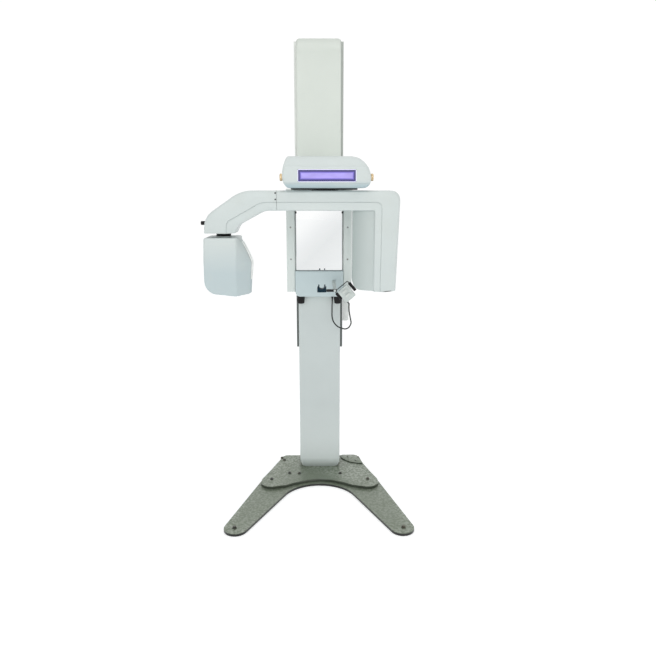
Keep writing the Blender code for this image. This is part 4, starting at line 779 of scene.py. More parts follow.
def set_light():
    """A white wall behind the machine, a dimmer room round the camera, and two softboxes."""
    world = bpy.data.worlds.new("studio")
    bpy.context.scene.world = world
    world.use_nodes = True
    tree = world.node_tree
    direction = tree.nodes.new("ShaderNodeTexCoord").outputs["Generated"]
    parts = tree.nodes.new("ShaderNodeSeparateXYZ")
    tree.links.new(direction, parts.inputs["Vector"])
    brighter = tree.nodes.new("ShaderNodeMath")
    brighter.operation = "MAXIMUM"
    wall = (0.20, 0.62, ROOM_LIGHT, WALL_LIGHT)
    sky = (0.05, 0.26, WALL_LIGHT, ROOM_LIGHT)
    for i, (axis, limits) in enumerate((("Y", wall), ("Z", sky))):
        fade = tree.nodes.new("ShaderNodeMapRange")
        fade.interpolation_type = "SMOOTHSTEP"
        tree.links.new(parts.outputs[axis], fade.inputs["Value"])
        for socket, value in zip(("From Min", "From Max", "To Min", "To Max"), limits):
            fade.inputs[socket].default_value = value
        tree.links.new(fade.outputs["Result"], brighter.inputs[i])
    background = tree.nodes["Background"]
    background.inputs["Color"].default_value = (1.0, 1.0, 1.0, 1.0)
    tree.links.new(brighter.outputs["Value"], background.inputs["Strength"])
    add_softbox("front", (-0.5, -5.2, 3.0), (0.0, -0.3, 1.2), (3.6, 2.2), FRONT_POWER, (1.0, 1.0, 0.99))
    add_softbox("top", (0.1, -0.9, 5.0), (0.0, -0.3, 1.0), (3.2, 2.6), TOP_POWER, (0.99, 1.0, 1.0))
    bpy.context.scene.view_settings.view_transform = "Standard"


def add_floor():
    floor = bmesh.new()
    bmesh.ops.create_circle(floor, cap_ends=True, segments=96, radius=30.0)
    data = mesh_of("studio_floor", floor)
    data.materials.append(FLOOR)
    in_scene("studio_floor", data)


# ---------------------------------------------------------------- lead of the control pad
def relief_boot(top, tip, width, ribs):
    """A ribbed strain relief that tapers from the housing to the lead. Heights run down from top to tip."""
    profile = [(width * 0.80, top), (width, top - 0.0005)]
    length = top - tip
    pitch = (length - 0.004) / ribs
    for i in range(ribs):
        start = top - 0.0015 - i * pitch
        radius = width * (1.0 - 0.42 * (i + 0.5) / ribs)
        for share, down in ((1.0, 0.0), (1.0, 0.50), (0.82, 0.58), (0.82, 0.92)):
            profile.append((radius * share, start - pitch * down))
    profile += [(LEAD_DIAMETER / 2 + 0.0005, tip + 0.0006), (LEAD_DIAMETER / 2 + 0.0002, tip)]
    return turned(profile, 40)


def pad_lead():
    x, y, z = LEAD_ROUTE[0]
    boot = relief_boot(0.0, z + 0.0004 - CONSOLE_LOW.z, 0.0056, 4)
    moved(boot, at((x, y, CONSOLE_LOW.z)))
    replaced = ("lead_relief_console",)
    console_boot = add_piece("console_relief_boot", boot, RUBBER, "carriage", replaced)
    boot = moved(relief_boot(0.0, -0.0063, 0.0056, 2), PAD_TURN @ at((PAD_LEAD_X, 0.0, -PAD_HALF.z)))
    pad_boot = add_piece("pad_relief_boot", boot, RUBBER, "carriage", ("lead_relief_pad",))
    lead = round_cord("control_lead", LEAD_ROUTE, LEAD_DIAMETER / 2, JACKET, "carriage")
    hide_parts("pad_lead")


# ---------------------------------------------------------------- floor stand
def base_plates():
    for node in ("base_lower_plate", "base_upper_plate"):
        shape = cad_shape(node)
        add_piece(node + "_enamelled", shape, HAMMERTONE, "stand", (node,), 28.0)


def base_fasteners():
    """Levelling bolts in the leg tips, and the screws that hold the upper plate and the column's flange."""
    for side in ("left", "right"):
        node = "tip_bolt_" + side
        low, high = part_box(node)
        middle = (low + high) / 2
        seat = UPPER_LOW.z
        washer_r = (high.x - low.x) / 2
        bolt = hexagon_bolt(washer_r * 0.52, high.z - seat - 0.0027, washer_r * 0.76, 0.0025)
        shank = turned([(0.0052, -0.0120), (0.0052, 0.0)], 32)
        place = Vector((middle.x, middle.y, seat + 0.0002))
        shape = moved(joined(bolt, shank), Matrix.Translation(place))
        add_piece("levelling_bolt_" + side, shape, DARK_STEEL, "stand", (node,))
    top = UPPER_HIGH.z
    places = [(-0.167, -0.160)]
    for x, y in ((0.260, -0.231), (0.113, -0.166), (0.222, 0.030)):
        places += [(-x, y), (x, y)]
    places.append((-0.206, 0.003))
    screws = []
    for x, y in places:
        washer = turned([(0.0100, 0.0), (0.0100, 0.0010), (0.0093, 0.0015)], 36)
        head = moved(socket_screw(0.0066, 0.0058), Matrix.Translation((0.0, 0.0, 0.0015)))
        screws.append(moved(joined(washer, head), at((x, y, top + 0.0002), turn=17.0 * len(screws))))
    add_piece("base_plate_screws", joined(*screws), DARK_STEEL, "stand")


def corner_plate():
    """Thin plate over the cable entry in the upper plate's rear right corner."""
    outline = [(0.128, 0.062), (0.119, 0.038)]
    curved = [(0.124, 0.022, 0.0), (0.150, -0.012, 0.0), (0.181, -0.035, 0.0), (0.216, -0.046, 0.0)]
    outline += [tuple(p)[:2] for p in smooth_line(curved + [(0.244, -0.047, 0.0)], 6)]
    outline += [(0.2290, 0.030), (0.214, 0.056), (0.195, 0.064)]
    low = UPPER_HIGH.z + 0.0003
    shape = slab(list(reversed(outline)), low, low + 0.0060, 0.0008, 2)
    add_piece("cable_entry_plate", shape, HAMMERTONE, "stand")
    screws = [
        moved(socket_screw(0.0048, 0.0026), at((x, y, low + 0.0062), turn=21.0))
        for x, y in ((0.160, 0.030), (0.205, -0.020))
    ]
    add_piece("cable_entry_screws", joined(*screws), DARK_STEEL, "stand")


# ---------------------------------------------------------------- column
def column_front():
    """Folded cover: rounded vertical corners, and a face whose lower corners are cut round."""
    half = COLUMN_HIGH.x
    front = COLUMN_LOW.y
    fold = 0.007
    corner = 0.023
    quarter = arc((half - fold, front + fold), fold, -90.0, 0.0, 7)
    face = [(x * (half - fold), front) for x in (0.0, 0.35, 0.65)]
    face += [(half - fold - corner + corner * math.sin(math.radians(a)), front) for a in range(0, 90, 6)]
    side = face + quarter + [(half, COLUMN_HIGH.y)]
    profile = [(-x, y) for x, y in reversed(side[1:])] + side
    shape = bmesh.new()
    columns = []
    top_corner = 0.018
    for x, y in profile:
        over = min(corner, max(0.0, abs(x) - (half - fold - corner)))
        foot = COLUMN_LOW.z + corner - math.sqrt(corner ** 2 - over ** 2)
        over = min(top_corner, max(0.0, abs(x) - (half - top_corner)))
        head = CAD_HIGH.z - top_corner + math.sqrt(top_corner ** 2 - over ** 2)
        columns.append([shape.verts.new((x, y, z)) for z in (foot, 0.080, 0.60, 1.20, 1.80, 2.20, head)])
    for near, far in zip(columns, columns[1:]):
        for k in range(len(near) - 1):
            shape.faces.new((near[k], far[k], far[k + 1], near[k + 1]))
    cover = add_piece("column_face", shape, PAINT, "stand", ("column_front_cover",))
    add_wall(cover, 0.002)
    channel_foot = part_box("column_channel")[0].z
    inner = cad_shape("column_channel")
    for vert in inner.verts:
        if vert.co.z < channel_foot + 0.001:
            vert.co.z += corner
    add_piece("column_inner_channel", inner, ALLOY, "stand", ("column_channel",))


def column_rear():
    shape = softened(cad_shape("column_rear_cover"), 0.0005, 1, 60.0)
    add_piece("column_back", shape, PAINT, "stand", ("column_rear_cover",))
    back = REAR_HIGH.y
    screws = []
    for side in (-1, 1):
        for i in range(7):
            z = 0.090 + i * 0.348
            screw = socket_screw(0.0042, 0.0013)
            screws.append(moved(screw, at((side * (REAR_HIGH.x - 0.012), back - 0.0005, z), "+Y", 11.0 * i)))
    shape = joined(*screws)
    add_piece("column_back_screws", shape, STEEL, "stand")
    louvres = []
    for group in (1.985, 0.205):
        for i in range(7):
            z = group + i * 0.024
            rings = []
            for x in (-0.062, -0.058, -0.050, 0.050, 0.058, 0.062):
                depth = 0.0011 * {0.062: 0.12, 0.058: 0.75, 0.050: 1.0}[abs(x)]
                slope = ((depth * 0.35, 0.010), (depth * 0.85, 0.005), (depth, 0.0005))
                root = [(x, back - 0.0006, z), (x, back - 0.0006, z + 0.012)]
                rings.append(root + [(x, back + out, z + up) for out, up in slope])
            louvres.append(loft(rings))
    add_piece("column_back_louvres", joined(*louvres), PAINT, "stand")


def column_trim():
    half, corner, top = COLUMN_HIGH.x - 0.0025, 0.0160, CAD_HIGH.z - 0.0020
    outline = [(-half, COLUMN_HIGH.z + 0.0006), (half, COLUMN_HIGH.z + 0.0006)]
    outline += arc((half - corner, top - corner), corner, 0.0, 90.0, 9)
    outline += arc((corner - half, top - corner), corner, 90.0, 180.0, 9)
    shape = loft([[(x, y, z) for x, z in outline] for y in (COLUMN_LOW.y + 0.0025, REAR_HIGH.y)])
    shape = softened(shape, 0.0012, 2, 60.0)
    add_piece("column_lid", shape, PAINT, "stand", ("column_top_cap",))
    for side in ("left", "right"):
        node = "guide_rail_" + side
        shape = softened(cad_shape(node), 0.0006, 2, 60.0)
        add_piece(node + "_strip", shape, RAIL, "stand", (node,))
    shape = softened(cad_shape("mains_inlet"), 0.0006, 2, 60.0)
    add_piece("mains_socket", shape, BLACK, "stand", ("mains_inlet",))
    floor_y = INLET_HIGH.y - 0.0120
    middle_z = (INLET_LOW.z + INLET_HIGH.z) / 2
    pins = []
    for x, z in ((-0.0045, -0.0018), (0.0, 0.0025), (0.0045, -0.0018)):
        low = Vector((x - 0.0006, floor_y - 0.0005, middle_z + z - 0.0018))
        pins.append(block(low, low + Vector((0.0012, 0.0100, 0.0036)), 0.0003, 1))
    add_piece("mains_pins", joined(*pins), STEEL, "stand")


# ---------------------------------------------------------------- carriage
def side_covers():
    """Cover strips beside the mirror, with three screws each."""
    for side, label in ((-1, "left"), (1, "right")):
        node = "side_cover_" + label
        shape = softened(cad_shape(node), 0.0007, 2, 50.0)
        add_piece(node + "_strip", shape, STRIP_PAINT, "carriage", (node,), 36.0)
        middle = side * (STRIP_LOW.x + STRIP_HIGH.x) / 2
        front = STRIP_LOW.y
        screws = []
        for z in (1.373, 1.210, 1.520):
            cup = turned([(0.0044, 0.0), (0.0044, 0.0004), (0.0038, 0.0007)], 36)
            head = moved(socket_screw(0.0033, 0.0016), Matrix.Translation((0.0, 0.0, 0.0005)))
            screws.append(moved(joined(cup, head), at((middle, front + 0.0002, z), "-Y", 30.0 * z)))
        add_piece("side_cover_screws_" + label, joined(*screws), STEEL, "carriage")


def mirror():
    """Bevelled mirror in its tray, with a dark seal down each side and clips over the corners."""
    low, high = MIRROR_LOW, MIRROR_HIGH
    seal = 0.0020
    glass = softened(block(low + Vector((seal, 0.0, 0.0)), high - Vector((seal, 0.0, 0.0))), 0.0016, 2)
    add_piece("mirror_glass", glass, MIRROR, "carriage", ("mirror",), 20.0)
    strips = []
    for side in (-1, 1):
        x = sorted((side * (high.x - seal + 0.0002), side * (high.x + 0.0006)))
        strips.append(block((x[0], low.y + 0.0008, low.z), (x[1], high.y, high.z), 0.0006))
    foot = (low.x + seal, low.y + 0.0020, low.z - 0.0024)
    strips.append(block(foot, (high.x - seal, high.y, low.z - 0.0003), 0.0006))
    add_piece("mirror_seals", joined(*strips), DARK_GREY, "carriage")
    clips = []
    for side in (-1, 1):
        x = sorted((side * (high.x - 0.0065), side * (high.x + 0.0010)))
        corner = (x[0], low.y - 0.0040, high.z - 0.019)
        clips.append(block(corner, (x[1], low.y + 0.0006, high.z - 0.009), 0.0012))
    add_piece("mirror_clips", joined(*clips), BLACK, "carriage")
    tray = softened(cad_shape("mirror_tray"), 0.0008, 2, 60.0)
    add_piece("mirror_frame", tray, GREY, "carriage", ("mirror_tray",))


def console():
    shape = cad_shape("console_cover")
    add_piece("console_front", shape, CONSOLE_PAINT, "carriage", ("console_cover",), 24.0)
    guard = softened(cad_shape("wiring_guard"), 0.0006, 2, 50.0)
    # Painted light: the guard's near-white tone offsets the shade it sits in.
    add_piece("wiring_guard_plate", guard, GUARD, "carriage", ("wiring_guard",))


def console_knobs():
    """Black grip knobs under the console: deep flutes, a collar above and a domed foot."""
    for label in ("left", "right"):
        node = "console_knob_" + label
        low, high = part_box(node)
        middle = (low + high) / 2
        body_top = CONSOLE_LOW.z - 0.0018
        radius = (high.x - low.x) / 2

        def flute(angle, r, z, body_top=body_top, low=low):
            deep = 0.0017 * max(0.0, min(1.0, (body_top - 0.002 - z) / 0.003, (z - low.z - 0.006) / 0.006))
            return deep * (0.5 + 0.5 * math.cos(12 * angle)) ** 2

        profile = [(0.0046, high.z), (0.0046, body_top + 0.0006), (0.0165, body_top)]
        profile += [(0.0186, body_top - 0.0006)]
        profile += [(radius - 0.0002, body_top - 0.0026), (radius, body_top - 0.0050)]
        for share in (0.25, 0.45, 0.60, 0.72):
            profile.append((radius - 0.0022 * share ** 2, body_top - (body_top - low.z) * share))
        for angle in (15.0, 35.0, 55.0, 75.0, 90.0):
            a = math.radians(angle)
            profile.append((0.0130 + 0.0060 * math.cos(a), low.z + 0.0050 * (1 - math.sin(a))))
        profile.append((0.0040, low.z))
        shape = moved(turned(profile, 144, flute), Matrix.Translation((middle.x, middle.y, 0.0)))
        add_piece(node + "_grip", shape, BLACK, node, (node,), 40.0)


def chin_rest():
    add_piece("chin_arm", cad_shape("chin_support"), SUPPORT, "carriage", ("chin_support",))
    add_piece("chin_crossbar", cad_shape("chin_bar"), BLACK, "chin_rest", ("chin_bar",))
    shape = softened(cad_shape("chin_cup"), 0.0010, 2, 50.0)
    add_piece("chin_saddle", shape, CHIN, "chin_rest", ("chin_cup",), 36.0)


# ---------------------------------------------------------------- control pad
def edges_along_y(shape):
    return [e for e in shape.edges if abs((e.verts[0].co - e.verts[1].co).normalized().y) > 0.9]


def control_pad():
    """Keypad box: rounded shell with a parting line, a raised face and two soft keys, on a stub bracket."""
    half = PAD_HALF
    gap = 0.0004
    shells = []
    for low_y, high_y in ((-half.y, -0.0010 - gap), (-0.0010 + gap, half.y)):
        shells.append(block((-half.x, low_y, -half.z), (half.x, high_y, half.z)))
    for shape in shells:
        round_off(shape, edges_along_y(shape), 0.006, 5)
        outer = [
            e for e in shape.edges
            if all(abs(abs(v.co.y) - half.y) < 0.0001 for v in e.verts) and e.calc_face_angle() > 0.8
        ]
        round_off(shape, outer, 0.0024, 4)
    core = block((-half.x + 0.001, -0.003, -half.z + 0.001), (half.x - 0.001, 0.001, half.z - 0.001))
    shape = moved(joined(*shells, core), PAD_TURN)
    add_piece("pad_shell", shape, KEYPAD, "carriage", ("pad_body",), 36.0)
    bracket = cad_shape("pad_bracket")
    add_piece("pad_stub", bracket, GREY, "carriage", ("pad_bracket",))
    for label, z in (("upper", 0.0160), ("lower", -0.0080)):
        node = "pad_key_" + label
        face = -half.y
        key = block((-0.0140, face - 0.0044, z - 0.0065), (0.0140, face - 0.0018, z + 0.0065))
        round_off(key, edges_along_y(key), 0.0030, 5)
        rim = [
            e for e in key.edges
            if all(v.co.y < face - 0.0040 for v in e.verts) and e.calc_face_angle() > 0.8
        ]
        round_off(key, rim, 0.0009, 3)
        add_piece(node + "_cap", moved(key, PAD_TURN), KEY, node, (node,), 36.0)
        outside = (0.0156, 0.0081, 0.0040)
        inside = (0.0146, 0.0071, 0.0034)
        rings = []
        for size, y in ((outside, 0.0004), (outside, -0.0008), (inside, -0.0008), (inside, -0.0002)):
            rings.append([(x, face + y, z + dz) for x, dz in rounded_loop(*size)])
        add_piece(node + "_collar", moved(loft(rings), PAD_TURN), KEYPAD, "carriage")


def rounded_loop(half_x, half_z, radius, steps=5):
    """Closed outline of a rectangle with round corners, anticlockwise."""
    loop = []
    for x, z, start in ((1, 1, 0.0), (-1, 1, 90.0), (-1, -1, 180.0), (1, -1, 270.0)):
        loop += arc((x * (half_x - radius), z * (half_z - radius)), radius, start, start + 90.0, steps)
    return loop


def pad_bail():
    """Thin rod round the pad's upper end, with a ribbed rubber grip on each leg."""
    left, right = BAIL_X
    top = 0.0460
    bend = 0.0060
    rod = [(left, 0.0, -0.0040), (left, 0.0, top - bend)]
    rod += [(x, 0.0, z) for x, z in arc((left + bend, top - bend), bend, 180.0, 90.0, 7)[1:]]
    rod += [(x, 0.0, z) for x, z in arc((right - bend, top - bend), bend, 90.0, 0.0, 7)]
    rod += [(right, 0.0, -0.0140)]
    curve, points = wire_curve("pad_bail_rod", 0.0021, 5, BLACK, "POLY", len(rod))
    for point, place in zip(points, rod):
        point.co = (*(PAD_TURN @ Vector(place)), 1.0)
    add_wire("pad_bail_rod", curve, "carriage")
    grips = []
    for x, (foot, count) in zip(BAIL_X, GRIPS):
        profile = [(0.0056, foot), (0.0074, foot + 0.0006), (0.0080, foot + 0.0024)]
        pitch = (0.0325 - foot - 0.0044) / count
        for i in range(count):
            z = foot + 0.0044 + i * pitch
            for radius, share in ((0.0080, 0.0), (0.0080, 0.55), (0.0072, 0.65), (0.0072, 0.90)):
                profile.append((radius, z + pitch * share))
        profile += [(0.0078, 0.0325), (0.0068, 0.0340), (0.0034, 0.0350)]
        grips.append(moved(turned(profile, 40), Matrix.Translation((x, 0.0, 0.0))))
    shape = moved(joined(*grips), PAD_TURN)
    add_piece("pad_bail_grips", shape, BLACK, "carriage", ("pad_bail",), 50.0)


# ---------------------------------------------------------------- overhead head
HEAD_MIDDLE_X = 0.037
HEAD_SEAM_Z = HEAD_TOP_LOW.z


def head_outline():
    """Front outline of the head, (x, z), anticlockwise: two bulged ends with a flat top and foot."""
    low, high = HEAD_LOW.z, HEAD_TOP_HIGH.z
    right = [(0.1900, low), (0.2080, 1.5720), (0.2220, 1.5880), (0.2256, 1.6110), (0.2200, 1.6380),
             (0.2044, 1.6680), (0.1790, 1.6920), (0.1450, high)]
    left = [(-0.1270, high), (-0.1370, 1.6940), (-0.1445, 1.6720), (-0.1510, 1.6400), (-0.1523, 1.6120),
            (-0.1470, 1.5900), (-0.1340, 1.5720), (-0.1220, low)]
    outline = []
    for side, lean in ((right, 0.030), (left, -0.018)):
        flat = [(x, z, 0.0) for x, z in side]
        start = (flat[0][0] - lean, flat[0][1], 0.0)
        end = (flat[-1][0] - lean, flat[-1][1], 0.0)
        outline += [(p.x, p.y) for p in smooth_line(flat, 4, start, end)]
        next_x, next_z = (left if side is right else right)[0]
        last_x, last_z = side[-1]
        for i in range(1, 6):
            share = i / 6
            outline.append((last_x + (next_x - last_x) * share, last_z + (next_z - last_z) * share))
    return outline


def soft_ceiling(z, ceiling, blend=0.0035):
    """z, held below a ceiling with a rounded crease."""
    if z - ceiling > 12 * blend:
        return ceiling
    return z - blend * math.log(1.0 + math.exp((z - ceiling) / blend))


def head_skin():
    """Rings from the front face back to the carriage: a round rim, and a top that slopes up behind it."""
    front = min(HEAD_LOW.y, HEAD_TOP_LOW.y)
    back = HEAD_TOP_HIGH.y
    low, high = HEAD_LOW.z, HEAD_TOP_HIGH.z
    outline = head_outline()
    middle_z = (low + high) / 2
    rings = []
    rim = 0.011
    for angle in (0.0, 12.0, 26.0, 42.0, 60.0, 78.0):
        a = math.radians(angle)
        inset = rim * (1 - math.sin(a))
        y = front + rim * (1 - math.cos(a))
        ceiling = 1.6520 + 0.0095 * math.sin(a)
        width = 1 - inset / 0.189
        ring = []
        for x, z in outline:
            height = 1 - inset / 0.0700
            place = middle_z + (z - middle_z) * height
            ring.append((HEAD_MIDDLE_X + (x - HEAD_MIDDLE_X) * width, y, soft_ceiling(place, ceiling)))
        rings.append(ring)
    stations = [
        (0.011, 0.0370, 1.000, 1.000, 1.6615), (0.022, 0.0370, 1.000, 1.000, 1.6715),
        (0.036, 0.0370, 1.000, 1.000, 1.6840), (0.050, 0.0370, 1.000, 1.000, 1.6960),
        (0.062, 0.0368, 0.999, 1.000, 1.7080), (0.080, 0.0365, 0.996, 1.000, 1.7300),
    ]
    for depth, middle, width, height, ceiling in stations:
        ring = []
        for x, z in outline:
            place = soft_ceiling(low + (z - low) * height, ceiling)
            ring.append((middle + (x - HEAD_MIDDLE_X) * width, front + depth, place))
        rings.append(ring)
    knots = [(front + 0.080, 0.0365, 0.996, 1.000), (AXIS_Y + 0.100, 0.0330, 0.960, 1.000),
             (-0.200, 0.0100, 0.780, 0.960), (back, 0.0000, 0.700, 0.910)]
    for y, middle, width, height in smooth_line(knots, 6)[1:]:
        rings.append([
            (middle + (x - HEAD_MIDDLE_X) * width, y, low + (z - low) * height) for x, z in outline
        ])
    return loft(rings, end_cap=False)


def keep_side(shape, point, normal):
    """Cuts a skin open at a plane and keeps the side that the normal points away from."""
    everything = list(shape.verts) + list(shape.edges) + list(shape.faces)
    bmesh.ops.bisect_plane(shape, geom=everything, plane_co=point, plane_no=normal, clear_outer=True)
    return shape


def head_covers():
    seam = 0.0002
    upper = keep_side(head_skin(), (0.0, 0.0, HEAD_SEAM_Z + seam), (0.0, 0.0, -1.0))
    cover = add_shell("head_shell", upper, HEAD_HOUSING, "carriage", "head_upper_cover", 50.0)
    window = block((WINDOW_LOW.x - 0.0022, HEAD_LOW.y - 0.05, WINDOW_LOW.z - 0.0022),
                   (WINDOW_HIGH.x + 0.0022, HEAD_LOW.y + 0.03, WINDOW_HIGH.z + 0.0022))
    knob_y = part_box("side_knob_left")[0].y + 0.0134
    knob_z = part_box("side_knob_left")[0].z + 0.0134
    cut(cover, window, bore(0.0046, 0.30, 24, (HEAD_MIDDLE_X, knob_y, knob_z), "+X"))
    lower = keep_side(head_skin(), (0.0, 0.0, HEAD_SEAM_Z - seam), (0.0, 0.0, 1.0))
    floor = add_shell("head_underside", lower, HEAD_HOUSING, "carriage", "head_lower_cover", 50.0)
    cut(floor, bore(0.0488, 0.03, 64, (AXIS_X, AXIS_Y, HEAD_LOW.z)))


def head_window():
    """Lit panel behind a thin bright bezel."""
    low, high = WINDOW_LOW, WINDOW_HIGH
    middle = (low + high) / 2
    half_x = (high.x - low.x) / 2
    half_z = (high.z - low.z) / 2
    face = low.y + 0.0002
    rings = []
    for grow, back in ((0.0020, 0.0050), (0.0020, 0.0004), (0.0016, 0.0), (0.0006, 0.0), (0.0002, 0.0004),
                       (0.0002, 0.0050)):
        loop = rounded_loop(half_x + grow, half_z + grow, 0.003 + grow)
        rings.append([(middle.x + x, face + back, middle.z + z) for x, z in loop])
    shape = loft(rings + [rings[0]], start_cap=False, end_cap=False)
    bmesh.ops.remove_doubles(shape, verts=shape.verts, dist=0.00001)
    bmesh.ops.recalc_face_normals(shape, faces=shape.faces)
    add_piece("window_bezel", shape, BEZEL, "carriage")
    rings = []
    for shrink, back in ((0.0, 0.0050), (0.0, 0.0014), (0.0006, 0.0008)):
        loop = rounded_loop(half_x - shrink, half_z - shrink, 0.003)
        rings.append([(middle.x + x, face + back, middle.z + z) for x, z in loop])
    add_piece("display_panel", loft(rings), LAMP, "carriage", ("head_window",), 30.0)


def head_gap_shade():
    """Black plate round the slewing bearing in the gap between the head and the arm: a dark sheet that stands
    for the shade in the gap.
    """
    outer = [(HEAD_MIDDLE_X - 0.010 + x, AXIS_Y + y) for x, y in rounded_loop(0.146, 0.072, 0.050, 12)]
    shape = slab(outer, ARM_HIGH.z + 0.0024, HEAD_LOW.z - 0.0004, 0.0010, 2)
    # Painted shade: a black plate that darkens the gap.
    gap_plate = add_piece("gap_shade_plate", shape, BLACK, "carriage")
    cut(gap_plate, bore(0.0470, 0.03, 64, (AXIS_X, AXIS_Y, HEAD_LOW.z)))


def side_knobs():
    """Brass knobs on the head's sides, with a knurled band and a turned face."""
    for side, label in ((-1, "left"), (1, "right")):
        node = "side_knob_" + label
        low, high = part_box(node)
        middle = (low + high) / 2
        radius = (high.z - low.z) / 2 * 1.14
        base = high.x if side < 0 else low.x
        shaft = 0.0118
        start = base + side * shaft

        def knurl(angle, r, z):
            on_band = r > radius - 0.0012 and 0.001 < z < 0.0094
            return 0.00045 * (0.5 + 0.5 * math.cos(40 * angle)) if on_band else 0.0

        profile = [(0.0040, -shaft), (0.0040, 0.0), (radius - 0.0010, 0.0), (radius, 0.0010),
                   (radius, 0.0014), (radius, 0.0088), (radius, 0.0094), (radius - 0.0008, 0.0104),
                   (0.0122, 0.0116), (0.0112, 0.0117), (0.0106, 0.0110), (0.0074, 0.0110),
                   (0.0070, 0.0120), (0.0020, 0.0122)]
        facing = "-X" if side < 0 else "+X"
        shape = moved(turned(profile, 160, knurl), at((start, middle.y, middle.z), facing))
        add_piece(node + "_knurled", shape, BRASS, node, (node,), 40.0)
        washer = [(0.0062, -0.0034), (0.0138, -0.0034), (0.0138, -0.0006), (0.0130, -0.0001),
                  (0.0062, -0.0001)]
        ring = moved(revolved(washer, 48), at((start, middle.y, middle.z), facing))
        add_piece(node + "_washer", ring, DARK_BRASS, node)


# ---------------------------------------------------------------- rotating arm
SEAM_X = ARM_LOW.x
BEAM_FOOT_Z = 1.471              # underside of the beam
NOSE_ROOT_X = -0.361             # right edge of the tube head's front face, where its nose begins
ARM_HALF = (REAR_ARM_HIGH.y - ARM_LOW.y) / 2
EDGE_R = 0.012                   # rounding of the arm's outer edges
GROOVE_DEPTH = 0.0036            # of the line that runs along the arm's faces


def bent_line(corners, bend_steps, straight_steps):
    """Points on a line whose corners are soft. Each corner is (x, half depth, z, size of its bend)."""
    places = [Vector(c[:3]) for c in corners]
    cuts = [c[3] for c in corners]
    line = []
    here = places[0]
    for i in range(1, len(places)):
        way = (places[i] - places[i - 1]).normalized()
        stop = places[i] - way * cuts[i]
        for step in range(straight_steps):
            line.append(here.lerp(stop, step / straight_steps))
        if cuts[i] <= 0.0:
            here = stop
            continue
        onward = places[i] + (places[i + 1] - places[i]).normalized() * cuts[i]
        for step in range(bend_steps):
            t = step / bend_steps
            line.append(stop.lerp(places[i], t).lerp(places[i].lerp(onward, t), t))
        here = onward
    line.append(here)
    return line


def arm_section(outer, line, crease, band, step, edge):
    """Closed section of the arm through (x, half depth, z) places on its six long lines.

    The front is flat from its round outer side to the line, sinks a little at the crease, runs on to the
    band's edge, steps back, and curves away to the inner edge.
    """
    flat = lambda v: Vector((v.x, 0.0, v.z))
    across = (flat(line) - flat(outer)).normalized()
    front = []
    for angle in (0.0, 22.0, 45.0, 68.0, 90.0):
        a = math.radians(angle)
        inward = across * EDGE_R * (1 - math.cos(a))
        front.append((flat(outer) + inward, outer.y - EDGE_R * (1 - math.sin(a))))
    front.append((flat(outer).lerp(flat(line), 0.65), outer.y))
    front.append((flat(line), line.y))
    front += [(flat(line).lerp(flat(crease), share), line.y - GROOVE_DEPTH) for share in (0.18, 0.82)]
    for near, far, shares, power in (
        (crease, band, (0.0, 0.30, 0.60, 0.85), 1.4), (band, step, (0.0, 0.25, 0.60), 1.0),
        (step, edge, (0.0, 0.15, 0.30, 0.45, 0.60, 0.75, 0.88, 1.0), 1.7),
    ):
        for share in shares:
            front.append((flat(near).lerp(flat(far), share), near.y - (near.y - far.y) * share ** power))
    ring = [(p.x, AXIS_Y - depth, p.z) for p, depth in front]
    ring += [(p.x, AXIS_Y + depth, p.z) for p, depth in reversed(front)]
    return ring


def arm_skin(corner_lines, bends, straights):
    lines = [bent_line(corners, bends, straights) for corners in corner_lines]
    return loft([arm_section(*places) for places in zip(*lines)], start_cap=False)


def main_arm_skin():
    """Beam and detector housing in one sweep, from the seam to the housing's foot."""
    top, low, foot = ARM_HIGH.z, BEAM_FOOT_Z, ARM_LOW.z
    seam, half = SEAM_X + 0.0006, ARM_HALF
    sunk = half - 0.002
    outer = [(seam, half, top, 0), (0.3583, half, top, 0.050), (0.3447, half, foot, 0.007),
             (0.3360, half, foot, 0)]
    line = [(seam, half, 1.509, 0), (0.2790, half, 1.509, 0.030), (0.2765, half, foot, 0.004),
            (0.2767, half, foot, 0)]
    crease = [(seam, sunk, 1.506, 0), (0.2758, sunk, 1.506, 0.028), (0.2735, sunk, foot, 0.004),
              (0.2740, sunk, foot, 0)]
    band = [(seam, 0.066, low + 0.0025, 0), (0.2487, 0.074, low + 0.0025, 0.010),
            (0.2487, 0.074, foot, 0.004), (0.2500, 0.074, foot, 0)]
    step = [(seam, 0.056, low + 0.0002, 0), (0.2462, 0.064, low + 0.0002, 0.004),
            (0.2450, 0.066, foot, 0.004), (0.2470, 0.066, foot, 0)]
    edge = [(seam, 0.050, low, 0), (0.153, 0.038, low, 0.003), (0.153, 0.038, foot, 0.048),
            (0.2250, 0.055, foot, 0)]
    return arm_skin((outer, line, crease, band, step, edge), 9, 7)


